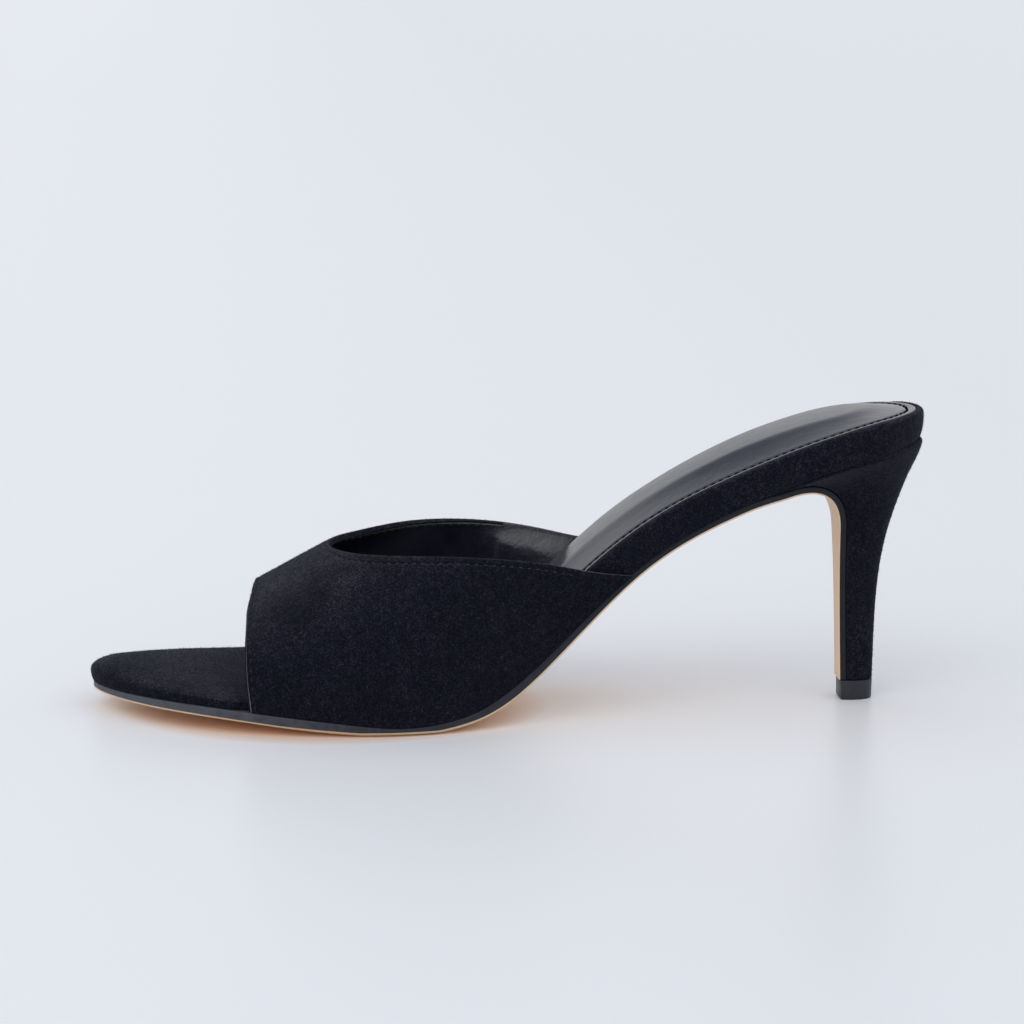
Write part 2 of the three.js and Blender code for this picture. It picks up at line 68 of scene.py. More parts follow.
# Top of the sole along the foot: height, sole thickness, and the footbed's side and middle heights above it.
PROFILE = table(
    "x z sole side middle",
    (0, 72.3, 2.2, 7.2, 8.1),
    (14, 70.7, 2.2, 6.5, 7.9),
    (28, 67.0, 2.2, 6.0, 7.9),
    (45, 60.4, 2.2, 5.8, 8.0),
    (62, 52.5, 2.2, 5.8, 8.0),
    (79, 41.5, 2.3, 5.9, 8.1),
    (96, 25.9, 2.5, 6.0, 8.2),
    (113, 11.0, 2.6, 5.8, 8.0),
    (122, 5.7, 2.6, 5.5, 7.6),
    (131, 3.2, 2.6, 5.1, 7.2),
    (143, 2.3, 2.6, 4.6, 6.7),
    (157, 3.4, 2.6, 3.9, 5.9),
    (173, 5.0, 2.6, 2.8, 5.1),
    (189, 6.2, 2.6, 1.9, 4.7),
    (206, 6.8, 2.5, 2.0, 5.5),
    (225.4, 7.0, 2.3, 2.3, 6.2),
)
# Plan half widths between the heel round and the ball.
OUTER_WAIST = table(
    "x y", (HEEL_ROUND, SEAT_HALF), (60, 21.6), (90, 22.9), (115, 29), (132, 34.6), OUTER_BALL
)
INNER_WAIST = table(
    "x y", (HEEL_ROUND, -SEAT_HALF), (60, -20.6), (92, -20.4), (118, -24.6), (142, -31.6), INNER_BALL
)
# Ridge of the upper's last.
RIDGE = table(
    "x z y",
    (74, 100, -2),
    (100, 80.5, -2),
    (125, 63.2, -3),
    (150, 48, -4),
    (163, 40.9, -4),
    (180, 31.4, -4),
    (190, 25.8, -4),
)
# Height of the topline on either side, from the ends of the wings to the throat.
TOPLINE = table(
    "x outer inner",
    (72, 38.4, 37.8),
    (82, 39.5, 40.1),
    (92, 40.7, 41.9),
    (103, 43.1, 44.1),
    (115, 44.6, 45.7),
    (128, 45.1, 46.1),
    (142, 44.4, 44.9),
    (154, 43.2, 42.9),
    (161, 42.3, 42.2),
    (170, 39.5, 39.5),
    (186, 32.0, 32.0),
)
# How far forward the upper's front edge lies, by its share of the way up to the ridge.
FRONT_EDGE = table(
    "x forward",
    (0, 183.2), (0.25, 183.6), (0.5, 183.82), (0.63, 183.81), (0.75, 183.6), (0.84, 183.3),
    (0.9, 183.15), (0.956, 182.65), (0.99, 181.85), (1, 181.45),
)


def curve(rows, column, level=False):
    """A smooth cubic through a table's column. With level set, it leaves and arrives without slope."""
    x, y = rows["x"], rows[column]
    count = len(x)
    width = np.diff(x)
    rise = np.diff(y) / width
    rows_of = np.eye(count)
    want = np.zeros(count)
    for i in range(1, count - 1):
        rows_of[i, i - 1:i + 2] = width[i - 1], 2 * (width[i - 1] + width[i]), width[i]
        want[i] = 6 * (rise[i] - rise[i - 1])
    if level:
        rows_of[0, :2] = 2 * width[0], width[0]
        rows_of[-1, -2:] = width[-1], 2 * width[-1]
        want[0], want[-1] = 6 * rise[0], -6 * rise[-1]
    bend = np.linalg.solve(rows_of, want)

    def at(value):
        v = np.clip(value, x[0], x[-1])
        i = np.clip(np.searchsorted(x, v) - 1, 0, count - 2)
        a = (x[i + 1] - v) / width[i]
        b = 1 - a
        sag = ((a**3 - a) * bend[i] + (b**3 - b) * bend[i + 1]) * width[i] ** 2 / 6
        return a * y[i] + b * y[i + 1] + sag

    return at


def ramp(x, run):
    """Smooth step from 0 to 1 over a run (from, to)."""
    t = np.clip((np.asarray(x, float) - run[0]) / (run[1] - run[0]), 0, 1)
    return t * t * (3 - 2 * t)


def mix(a, b, t):
    return a + (b - a) * t


def unit(vectors):
    return vectors / np.maximum(np.linalg.norm(vectors, axis=-1, keepdims=True), 1e-9)


sole_top = curve(PROFILE, "z")
sole_thickness = curve(PROFILE, "sole")
footbed_side = curve(PROFILE, "side")
footbed_middle = curve(PROFILE, "middle")
outer_waist = curve(OUTER_WAIST, "y", level=True)
inner_waist = curve(INNER_WAIST, "y", level=True)
ridge_z = curve(RIDGE, "z")
ridge_y = curve(RIDGE, "y")
outer_topline = curve(TOPLINE, "outer")
inner_topline = curve(TOPLINE, "inner")
front_edge = curve(FRONT_EDGE, "forward")

# Insets of the pieces from the shoe's edge.
WRAP, WRAP_RUN = 2.1, (74.0, 96.0)
TOE_INSET, BARE_RUN, TIP_RUN = 0.7, (1.5, 5.5), (205.0, 225.0)
SOLE_TUCK, TUCK_RUN, SOLE_TIP_INSET = 0.9, (92.0, 126.0), 0.7
FRONT_FOOT = {1: 182.4, -1: 176.6}


def edge(x, side, inset=0.0):
    """Edge of the shoe in plan on one side (+1 outer, -1 inner), drawn in by an inset."""
    x = np.asarray(x, float)
    ball_x, ball_y = OUTER_BALL if side > 0 else INNER_BALL
    waist = outer_waist if side > 0 else inner_waist
    back = np.clip((HEEL_ROUND - x) / (HEEL_ROUND - inset), -1, 1)
    heel = side * (SEAT_HALF - inset) * np.sqrt(1 - back**2)
    ahead = np.clip((x - ball_x) / (TOE_X - inset - ball_x), 0, 1)
    toe = TOE_Y + (ball_y - side * inset - TOE_Y) * (1 - ahead**2) ** TOE_ROUND
    return np.where(x < HEEL_ROUND, heel, np.where(x <= ball_x, waist(x) - side * inset, toe))


def footbed_inset(x, side):
    bare = ramp(x - FRONT_FOOT[side], BARE_RUN)
    return WRAP * ramp(x, WRAP_RUN) * (1 - bare) + TOE_INSET * bare * (1 - ramp(x, TIP_RUN))


def footbed_edge(x, side, more=0.0):
    return edge(x, side, footbed_inset(x, side) + more)


def sole_inset(x):
    return SOLE_TUCK * (1 - ramp(x, TUCK_RUN)) + SOLE_TIP_INSET * ramp(x, TIP_RUN)


def sole_slope(x):
    return (sole_top(x + SLOPE_STEP) - sole_top(x - SLOPE_STEP)) / (2 * SLOPE_STEP)


def over(x, y, h):
    """Points over the sole: x along the foot, y across it, h off the sole's top."""
    x, y, h = np.broadcast_arrays(np.asarray(x, float), y, h)
    tilt = np.arctan(-sole_slope(x)) - HEEL_LEAN * (1 - ramp(x, LEAN_RUN))
    return np.stack([x + h * np.sin(tilt), y, sole_top(x) + h * np.cos(tilt)], -1)


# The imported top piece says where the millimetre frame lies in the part's frame.
TIP = {"back": 11.7, "front": 19.5, "half": 4.0}
TOP_PIECE_FLARE = 0.1
low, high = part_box("top_piece")
SHIFT = np.array([TIP["back"] - TOP_PIECE_FLARE - 1000 * low.x, -500 * (low.y + high.y), 0.0])


def to_frame(points):
    return (np.asarray(points, float) - SHIFT) / 1000


def from_frame(points):
    return np.asarray(points, float) * 1000 + SHIFT


def grid_faces(rows, cols, start=0, around=False):
    """Quads of a grid of points stored row by row."""
    i, j = np.meshgrid(np.arange(rows - 1), np.arange(cols if around else cols - 1), indexing="ij")
    a = start + i * cols + j
    b = start + i * cols + (j + 1) % cols
    return np.stack([a, b, b + cols, a + cols], -1).reshape(-1, 4).tolist()


def border_of(rows, cols):
    """Numbers of the points round the border of a grid, in order."""
    border = list(range(cols - 1))
    border += [i * cols + cols - 1 for i in range(rows - 1)]
    border += [(rows - 1) * cols + j for j in range(cols - 1, 0, -1)]
    return border + [i * cols for i in range(rows - 1, 0, -1)]


def strip(first, second):
    """Quads between two closed lines of points of the same count."""
    ends = zip(first, first[1:] + first[:1], second, second[1:] + second[:1])
    return [[a, b, d, c] for a, b, c, d in ends]


def placed(name, data):
    """A new object in the scene."""
    shown = bpy.data.objects.new(name, data)
    bpy.context.collection.objects.link(shown)
    return shown


# Points nearer than this, in metres, are one. Edges sharper than these angles, in degrees, stay hard.
WELD = 1e-7
SHARP = {"outsole": 32, "heel": 50, "top_piece": 40, "sock": 55, "upper": 50}


def piece(name, points, faces, materials, of_face=None, sharp=None, weld=True):
    """A mesh object from points in millimetres; of_face gives each face's material."""
    mesh = bpy.data.meshes.new(name)
    mesh.from_pydata(to_frame(points).tolist(), [], faces)
    for material in materials:
        mesh.materials.append(material)
    if of_face is not None:
        mesh.polygons.foreach_set("material_index", np.asarray(of_face, np.int32))
    if weld:
        work = bmesh.new()
        work.from_mesh(mesh)
        bmesh.ops.remove_doubles(work, verts=work.verts, dist=WELD)
        bmesh.ops.recalc_face_normals(work, faces=work.faces)
        work.to_mesh(mesh)
        work.free()
    mesh.shade_smooth()
    if sharp is not None:
        mesh.set_sharp_from_angle(angle=math.radians(sharp))
    return placed(name, mesh)


def loft(rings):
    """Points and faces of a closed body through rings of the same count."""
    rings = np.asarray(rings)
    rows, cols = rings.shape[:2]
    faces = grid_faces(rows, cols, around=True)
    faces.append(list(range(cols)))
    faces.append(list(range((rows - 1) * cols, rows * cols)))
    return rings.reshape(-1, 3), faces


# Materials. Every pattern lies in the part's own space, in metres.
class Nodes:
    """A node tree under construction, with its shader and the place or direction that patterns follow."""

    def __init__(self, owner, shader, place, **values):
        self.owner = owner
        owner.use_nodes = True
        self.tree = owner.node_tree
        self.place = self.make("TexCoord").outputs[place]
        self.shader = self.put(self.tree.nodes[shader], **values)

    def set(self, socket, value):
        """Gives an input a value or another node's output."""
        if isinstance(value, bpy.types.NodeSocket):
            self.tree.links.new(value, socket)
        else:
            socket.default_value = value

    def put(self, node, **values):
        """Fills a node's inputs; an underscore stands for a space in their names."""
        for name, value in values.items():
            self.set(node.inputs[name.replace("_", " ")], value)
        return node

    def make(self, kind, **values):
        return self.put(self.tree.nodes.new("ShaderNode" + kind), **values)

    def finish(self, **values):
        """Fills the shader's inputs and gives back the material or world."""
        self.put(self.shader, **values)
        return self.owner

    def noise(self, scale, detail=3.0, roughness=0.55, stretch=None, distortion=0.0):
        place = self.place
        if stretch is not None:
            place = self.make("Mapping", Vector=place, Scale=stretch).outputs["Vector"]
        node = self.make("TexNoise", Vector=place, Scale=scale, Detail=detail)
        return self.put(node, Roughness=roughness, Distortion=distortion).outputs["Fac"]

    def cells(self, scale, smooth=0.4):
        node = self.make("TexVoronoi")
        node.feature = "SMOOTH_F1"
        return self.put(node, Vector=self.place, Scale=scale, Smoothness=smooth).outputs["Distance"]

    def axis(self, name, of=None):
        return self.make("SeparateXYZ", Vector=of or self.place).outputs[name]

    def facing(self, name):
        """How far the surface faces along an axis."""
        return self.axis(name, self.make("TexCoord").outputs["Normal"])

    def spread(self, value, from_low, from_high, to_low=0.0, to_high=1.0, smooth=False):
        node = self.make("MapRange", Value=value, From_Min=from_low, From_Max=from_high)
        if smooth:
            node.interpolation_type = "SMOOTHSTEP"
        return self.put(node, To_Min=to_low, To_Max=to_high).outputs["Result"]

    def reckon(self, operation, *values):
        node = self.make("Math")
        node.operation = operation
        for socket, value in zip(node.inputs, values):
            self.set(socket, value)
        return node.outputs["Value"]

    def add(self, a, b, share=1.0):
        return self.reckon("MULTIPLY_ADD", b, share, a)

    def times(self, a, b):
        return self.reckon("MULTIPLY", a, b)

    def tone(self, value, *stops):
        """Colours over a value: stops of (place, linear red, green, blue)."""
        node = self.make("ValToRGB", Fac=value)
        elements = node.color_ramp.elements
        while len(elements) < len(stops):
            elements.new(0.5)
        for element, (place, *colour) in zip(elements, stops):
            element.position = place
            element.color = (*colour, 1.0)
        return node.outputs["Color"]

    def bump(self, height, strength, distance):
        return self.make("Bump", Height=height, Strength=strength, Distance=distance).outputs["Normal"]


def look_of(name, **values):
    """A new material to work on; its patterns lie in the piece's own space."""
    return Nodes(bpy.data.materials.new(name), "Principled BSDF", "Object", **values)


# Noise patterns of suede and smooth leather.
SUEDE_GRAIN = {"scale": 2300, "detail": 1, "roughness": 0.5}
SUEDE_NAP = {"scale": 620, "detail": 3, "roughness": 0.6, "stretch": (1, 1, 0.75)}
SUEDE_CLOUDS = {"scale": 75, "detail": 3, "roughness": 0.5, "stretch": (1, 1, 0.8), "distortion": 0.4}
LEATHER_TONE = {"scale": 160, "detail": 3}
LEATHER_CREASES = {"scale": 260, "detail": 2, "roughness": 0.5, "stretch": (1, 1, 0.6), "distortion": 1.0}
PEBBLE_SCALE = 1250
# What each pattern adds to the suede's tone, and the runs over which it turns paler and is spread out. Its
# paler tops and paler heel end are painted light: the tops as if lit from above, the heel as if more brightly
# lit.
SUEDE_SHARE = {"nap": 0.4, "clouds": 0.15, "heel": 0.04, "painted_top_light": 0.36}
PAINTED_TOP_LIGHT_RUN, PAINTED_HEEL_LIGHT_RUN, SUEDE_RUN = (0.3, 1.0), (-0.05, -0.09), (0.55, 1.2)
SHEEN_TINT = (0.7, 0.73, 0.9, 1.0)
LEATHER_STOPS = (0.0, 0.0028, 0.0037, 0.0110), (1.0, 0.0054, 0.0066, 0.0165)
# The middle of a noise's values, and how far roughness plays with them.
TONE_RUN = (0.3, 0.7)
LEATHER_PLAY, PLAIN_PLAY = 0.04, 0.05
# Reliefs: depths in metres, the suede's strength and its nap's share, and how much finer a plain one is.
SUEDE_DEPTH, LEATHER_DEPTH, PLAIN_DEPTH = 0.0003, 0.0012, 0.0001
SUEDE_STRENGTH, NAP_RELIEF, FINER = 0.8, 0.8, 3
# Where tones run from heel to toe, in metres, and the ball's share of the way.
HEEL_TONE_X, TOE_TONE_X, BALL_TONE = -0.04, 0.09, 0.6


def suede(name, *stops):
    """Black microsuede: fine flecked nap over broader mottling, with painted light making it paler where it
    faces up and at the heel.
    """
    look = look_of(name, Roughness=0.95, Specular_IOR_Level=0.12, Sheen_Weight=0.075, Sheen_Roughness=0.4)
    look.shader.inputs["Sheen Tint"].default_value = SHEEN_TINT
    grain = look.noise(**SUEDE_GRAIN)
    flecks = look.noise(**SUEDE_NAP)
    clouds = look.noise(**SUEDE_CLOUDS)
    # Painted light: faces turned up get a paler tone, as if lit from above.
    painted_top_light = look.spread(look.facing("Z"), *PAINTED_TOP_LIGHT_RUN, smooth=True)
    # Painted light: the heel end gets a paler tone, as if more brightly lit.
    at_heel = look.spread(look.axis("X"), *PAINTED_HEEL_LIGHT_RUN, smooth=True)
    body = look.add(grain, flecks, SUEDE_SHARE["nap"])
    body = look.add(body, clouds, SUEDE_SHARE["clouds"])
    body = look.add(body, at_heel, SUEDE_SHARE["heel"])
    body = look.add(body, look.times(clouds, painted_top_light), SUEDE_SHARE["painted_top_light"])
    colour = look.tone(look.spread(body, *SUEDE_RUN), *stops)
    relief = look.bump(look.add(grain, flecks, NAP_RELIEF), SUEDE_STRENGTH, SUEDE_DEPTH)
    return look.finish(Base_Color=colour, Normal=relief)


def smooth_leather(name, roughness, specular, grain, crumple):
    """Black smooth faux leather: fine creased grain over soft crumples, and a gloss that varies a little."""
    look = look_of(name, Specular_IOR_Level=specular)
    pebble = look.cells(PEBBLE_SCALE)
    tone = look.noise(**LEATHER_TONE)
    creases = look.noise(**LEATHER_CREASES)
    colour = look.tone(look.spread(tone, *TONE_RUN), *LEATHER_STOPS)
    gloss = look.spread(tone, *TONE_RUN, roughness - LEATHER_PLAY, roughness + LEATHER_PLAY)
    relief = look.bump(look.add(creases, pebble, grain), crumple, LEATHER_DEPTH)
    return look.finish(Base_Color=colour, Roughness=gloss, Normal=relief)


def finely_worn(look, colour, tone, roughness, scale, bump):
    """The material in a colour, with a gloss that follows a tone and a fine relief."""
    gloss = look.spread(tone, *TONE_RUN, roughness + PLAIN_PLAY, roughness - PLAIN_PLAY)
    relief = look.bump(look.noise(scale * FINER), bump, PLAIN_DEPTH)
    return look.finish(Base_Color=colour, Roughness=gloss, Normal=relief)


def plain(name, dark, light, roughness, scale=600, bump=0.1, specular=0.4):
    """A smooth surface that varies a little between two tones."""
    look = look_of(name, Specular_IOR_Level=specular)
    tone = look.noise(scale, detail=4)
    colour = look.tone(look.spread(tone, *TONE_RUN), (0.0, *dark), (1.0, *light))
    return finely_worn(look, colour, tone, roughness, scale, bump)


def shaded(name, heel, ball, toe, roughness, scale=400, bump=0.1, specular=0.25, speckle=0.12):
    """A smooth surface whose tone runs from the heel over the ball to the toe, with faint speckles; on the
    edge paint that run is painted light, on the sole sheet its own colour.
    """
    look = look_of(name, Specular_IOR_Level=specular)
    tone = look.noise(scale, detail=4)
    way = look.spread(look.axis("X"), HEEL_TONE_X, TOE_TONE_X)
    along = look.add(way, look.spread(tone, *TONE_RUN, -1), speckle)
    colour = look.tone(along, (0.0, *heel), (BALL_TONE, *ball), (1.0, *toe))
    return finely_worn(look, colour, tone, roughness, scale, bump)


SUEDE = suede(
    "suede",
    (0.0, 0.0006, 0.0010, 0.0044),
    (0.36, 0.0033, 0.0041, 0.0100),
    (0.68, 0.0130, 0.0135, 0.0215),
    (1.0, 0.0400, 0.0400, 0.0520),
)
# The nap's fibres are paler than the suede: a painted highlight of fibres catching the light.
FUZZ = suede("fuzz", (0.0, 0.002, 0.002, 0.005), (0.4, 0.009, 0.009, 0.016), (1.0, 0.045, 0.045, 0.056))
LINING = smooth_leather("lining", 0.36, 1.0, 0.2, 0.2)
SOCK = smooth_leather("sock", 0.19, 0.6, 0.03, 0.05)
RAW_EDGE = plain("raw_edge", (0.085, 0.078, 0.073), (0.16, 0.147, 0.138), 0.85, scale=1500, bump=0.4)
# Painted sheen: a paler suede for the turned edge on the wings, standing in for its nap catching the light.
PAINTED_SHEEN_EDGE = plain("painted_sheen_edge", (0.030, 0.031, 0.036), (0.085, 0.085, 0.093), 0.95, scale=1500, bump=0.5)
FRONT_CUT = plain("front_cut", (0.060, 0.058, 0.062), (0.14, 0.135, 0.140), 0.9, scale=1500, bump=0.4)
# The sock's cut edge in a pale grey: partly its own colour, partly a painted highlight where its rim catches
# the light.
SOCK_EDGE = plain("sock_edge", (0.09, 0.09, 0.10), (0.15, 0.15, 0.16), 0.7, scale=1500, bump=0.3)
# The edge paint is one colour; its run of tones is painted light: painted shade from the heel through the
# shank, and a painted highlight at the toe where the edge faces the light.
EDGE_PAINT = shaded("edge_paint", (0.008, 0.009, 0.014), (0.025, 0.027, 0.035), (0.066, 0.070, 0.082), 0.5)
BEVEL = plain("bevel", (0.72, 0.53, 0.34), (0.79, 0.60, 0.41), 0.5, scale=350, bump=0.12)
SOLE_SHEET = shaded("sole_sheet", (0.75, 0.57, 0.40), (0.86, 0.50, 0.20), (0.86, 0.50, 0.20), 0.5)
LIFT = plain("lift", (0.011, 0.012, 0.017), (0.017, 0.018, 0.023), 0.4, scale=500)
THREAD = plain("thread", (0.003, 0.003, 0.004), (0.009, 0.009, 0.011), 0.75, scale=4000, bump=0.3)
DULL_THREAD = plain(
    "dull_thread", (0.002, 0.002, 0.003), (0.006, 0.006, 0.008), 0.9, scale=4000, specular=0.05
)
PALE_THREAD = plain("pale_thread", (0.012, 0.012, 0.016), (0.030, 0.030, 0.037), 0.7, scale=4000, bump=0.3)


# Outsole: shank, forefoot and the flap on the heel breast.
SPLIT_X, LIP_X = 52.0, 42.0
LIP_START = LIP_X - 1
TOP_PIECE_H, TOP_PIECE_FRONT = 5.5, 20.85
BREAST_X, BREAST_Z = 21.05, 48.2
SHANK_PULL, FLAP_PULL = 10.0, 19.5
FLAP_T, FLAP_BEVEL, FLAP_RUN = 1.9, 0.25, (0.5, 0.9)
FRONT_SHARE = 0.95
SIDE_SWEEP, BACK_SWEEP, SEAT_SWEEP = 3.7, 2.65, 6
SOLE_BEVEL, SOLE_BEVEL_IN = 0.7, 1.1
SOLE_ROUND = 0.22
SOLE_BLEND = 1.2
EDGE_CLEAR, UNDER_RUN = 0.2, 13.0
BALL_BEVEL, BALL_RUNS = 0.4, ((112.0, 128.0), (160.0, 178.0))
# Shares of the sole's width that bevel and slope may take, a corner's cut, and the bevel's bow.
BEVEL_MOST, UNDER_MOST, CORNER_CUT = 0.3, 0.45, 0.3
BEVEL_BOW = {"in": 0.5, "down": 0.55, "least": 0.4}
FLAP_RINGS, FOREFOOT_RINGS, TOE_RINGS = 110, 150, 40
# How much thicker the sole is than its board at the forefoot.
SOLE_SWELL = table(
    "x more",
    (52, 0.0), (100, 0.0), (112, 0.25), (121, 0.26), (128, 0.08), (135, 0.0), (144, 0.0),
    (151, 0.16), (161, 0.55), (177, 0.45), (195, 0.2), (212, 0.0), (226, 0.0),
)
sole_swell = curve(SOLE_SWELL, "more")
CURVE_STEPS = 400


def breast_path():
    """The sole's top from the top piece up the breast to the shank, with each point's share of its length."""
    foot = np.array([TIP["front"], TOP_PIECE_H + GAP])
    end = np.array([BREAST_X, BREAST_Z])
    start = np.array([SPLIT_X, float(sole_top(SPLIT_X))])
    drop = unit(foot - end)
    back = unit(np.array([-1.0, -float(sole_slope(SPLIT_X))]))
    pull = end - FLAP_PULL * drop
    reach = start + SHANK_PULL * back
    t = np.linspace(0, 1, CURVE_STEPS)[:, None]
    bow = (1 - t) ** 3 * end + 3 * (1 - t) ** 2 * t * pull + 3 * (1 - t) * t**2 * reach + t**3 * start
    path = np.vstack([mix(foot, end, t), bow[1:]])
    steps = np.linalg.norm(np.diff(path, axis=0), axis=1)
    share = np.concatenate([[0], np.cumsum(steps)])
    return path, share / share[-1]


BREAST, BREAST_SHARE = breast_path()
LIP_SHARE = float(np.interp(LIP_START, BREAST[CURVE_STEPS:, 0], BREAST_SHARE[CURVE_STEPS:]))


def breast(share):
    """A point of the breast path at a share of it, with the direction towards the heel."""
    def at(s):
        return np.stack([np.interp(s, BREAST_SHARE, BREAST[:, k]) for k in (0, 1)], -1)

    step = SLOPE_STEP / 2
    run = unit(at(np.clip(share + step, 0, 1)) - at(np.clip(share - step, 0, 1)))
    return at(share), np.stack([-run[..., 1], run[..., 0]], -1)


def heel_half(v):
    return mix(TIP["half"], SEAT_HALF, v**SIDE_SWEEP)


def lesser(a, b):
    """The lesser of two widths, with a soft change from one to the other."""
    return -SOLE_BLEND * math.log(math.exp(-a / SOLE_BLEND) + math.exp(-b / SOLE_BLEND))


def sole_ring(top, down, outer, inner, thickness, bevel_height):
    """Sole section: painted edge with a rounded top corner, bevel, and a tread ground flat on the floor."""
    band = thickness - bevel_height
    bevel = min(SOLE_BEVEL_IN * bevel_height / SOLE_BEVEL, BEVEL_MOST * (outer - inner))
    half = [
        (SOLE_ROUND, 0, EDGE_CLEAR),
        (CORNER_CUT * SOLE_ROUND, CORNER_CUT * SOLE_ROUND, EDGE_CLEAR),
        (0, SOLE_ROUND, EDGE_CLEAR),
        (0, 0.5 * band, EDGE_CLEAR),
        (0, band, EDGE_CLEAR + bevel_height),
        (
            BEVEL_BOW["in"] * bevel,
            mix(band, thickness, BEVEL_BOW["down"]),
            EDGE_CLEAR + BEVEL_BOW["least"] * bevel_height,
        ),
        (bevel, thickness, EDGE_CLEAR),
        (min(UNDER_RUN, UNDER_MOST * (outer - inner)), thickness, 0.0),
    ]
    rows = [(outer - d, h, least) for d, h, least in half]
    rows += [(inner + d, h, least) for d, h, least in reversed(half)]
    return [(top[0] + down[0] * h, y, max(top[1] + down[1] * h, least)) for y, h, least in rows]


def outsole():
    rings = []
    for share in np.linspace(0, 1, FLAP_RINGS, endpoint=False):
        at, inward = breast(share)
        half = FRONT_SHARE * heel_half(share / LIP_SHARE)
        outer = lesser(half, float(edge(at[0], 1, SOLE_TUCK)))
        inner = -lesser(half, -float(edge(at[0], -1, SOLE_TUCK)))
        swell = float(ramp(share, FLAP_RUN))
        thickness = mix(FLAP_T, float(sole_thickness(SPLIT_X)), swell)
        rings.append(sole_ring(at, -inward, outer, inner, thickness, mix(FLAP_BEVEL, SOLE_BEVEL, swell)))
    end = TOE_X - SOLE_TIP_INSET - END_CLEAR
    round_end = end - END_RUN * np.linspace(1, 0, TOE_RINGS) ** 2
    forefoot = np.linspace(SPLIT_X, round_end[0], FOREFOOT_RINGS)[:-1]
    for x in np.concatenate([forefoot, round_end]):
        top = over(x, 0.0, 0.0)[[0, 2]]
        down = over(x, 0.0, -1.0)[[0, 2]] - top
        outer, inner = (float(edge(x, side, sole_inset(x))) for side in (1, -1))
        at_ball = float(ramp(x, BALL_RUNS[0]) * (1 - ramp(x, BALL_RUNS[1])))
        bevel = SOLE_BEVEL + BALL_BEVEL * at_ball
        thickness = float(sole_thickness(x) + sole_swell(x))
        rings.append(sole_ring(top, down, outer, inner, thickness, bevel))
    points, faces = loft(rings)
    band, bevel, sheet = 0, 1, 2
    half_ring = [band] * 4 + [bevel] * 2 + [sheet]
    of_ring = half_ring + [sheet] + half_ring[::-1] + [band]
    first, last = len(points) - len(of_ring), len(points) - 1
    tip = [[first + k, first + k + 1, last - k - 1, last - k] for k in range(len(half_ring))]
    faces = faces[:-1] + tip
    of_face = of_ring * (len(rings) - 1) + [band] + half_ring
    materials = [EDGE_PAINT, BEVEL, SOLE_SHEET]
    return piece("outsole_dressed", points, faces, materials, of_face, sharp=SHARP["outsole"])


# Heel and its top piece.
HEEL_TOP_ROUND = table("down inset", (1.1, 0.0), (0.6, 0.12), (0.25, 0.38), (0.0, 0.9))
HEEL_ROUND_RUN = (26.0, 38.0)
# The back of the heel against its plain sweep, by height: fuller under the seat, leaner half way down.
BACK_SHIFT = table(
    "x forward",
    (0, 0.0), (17, 0.0), (27, 0.18), (35, 0.34), (46, 0.32), (52, 0.05), (58, -0.26),
    (64, -0.56), (67.5, -0.8), (70, -0.66), (72.5, -0.2),
)
# Where footbed and heel meet, off the sole's top line.
CREASE = table("x rise", (0, 0.6), (6, 0.25), (12, -0.35), (20, -0.5), (30, -0.25), (42, 0))
crease = curve(CREASE, "rise")
back_shift = curve(BACK_SHIFT, "forward")
LIP_END, LIP_SIDE, LIP_CLEAR, LIP_STEPS = 47.5, 21.1, 0.06, 12
HEEL_RINGS, HEEL_CROWD, HEEL_ARC, HEEL_FLANK = 90, 0.8, 24, 8
# The top piece in layers, drawn in at its edges; its round back and the corners of its front.
LIFT_LAYERS = table(
    "z inset", (0, 0.25), (0.1, 0.1), (0.3, 0.03), (0.7, 0), (5.2, -0.1), (5.4, -0.05), (TOP_PIECE_H, 0.1)
)
LIFT_ARC, LIFT_ROUND, LIFT_CORNER = 40, 0.62, 0.55


def heel_ring(v):
    height = mix(TOP_PIECE_H + GAP, float(sole_top(0)), v)
    back = np.array([mix(TIP["back"], 0.0, v**BACK_SWEEP) + float(back_shift(height)), height])
    at, inward = breast(v * LIP_SHARE)
    front = at + inward * GAP if v < 1 else np.array([LIP_X, float(sole_top(LIP_X))])
    half = heel_half(v)
    round_share = HEEL_ROUND / LIP_X
    angle = np.pi / 2 * np.arange(1, HEEL_ARC + 1) / HEEL_ARC
    t = np.arange(1, HEEL_FLANK + 1) / HEEL_FLANK
    share = np.concatenate([round_share * (1 - np.cos(angle)), mix(round_share, 1, t)])
    width = np.concatenate([half * np.sin(angle), half * mix(1, FRONT_SHARE, t * t)])
    share = np.concatenate([[0], share, share[::-1]])
    y = np.concatenate([[0], width, -width[::-1]])
    seat = sole_top(LIP_X * share) - mix(sole_top(0), sole_top(LIP_X), share)
    z = mix(back[1], front[1], share) + (seat + crease(LIP_X * share)) * v**SEAT_SWEEP
    return np.stack([mix(back[0], front[0], share), y, z], -1)


def drawn_in(ring, inset):
    """A heel ring moved towards the middle of the seat, but not at the lip."""
    ray = unit((ring - (HEEL_ROUND, 0, 0)) * (1, 1, 0))
    return ring - ray * (inset * (1 - ramp(ring[:, 0], HEEL_ROUND_RUN)))[:, None]


def heel_lip():
    """Thin wedge of the wrap that closes the slit where sole and footbed part."""
    x = np.linspace(LIP_START, LIP_END, LIP_STEPS)
    top = sole_top(x) + GAP / 2
    on_breast = np.interp(x, BREAST[CURVE_STEPS:, 0], BREAST[CURVE_STEPS:, 1]) - LIP_CLEAR
    rows = [(LIP_SIDE, top), (-LIP_SIDE, top), (-LIP_SIDE, on_breast), (LIP_SIDE, on_breast)]
    return np.stack([np.stack([x, np.full_like(x, y), z], -1) for y, z in rows], axis=1)


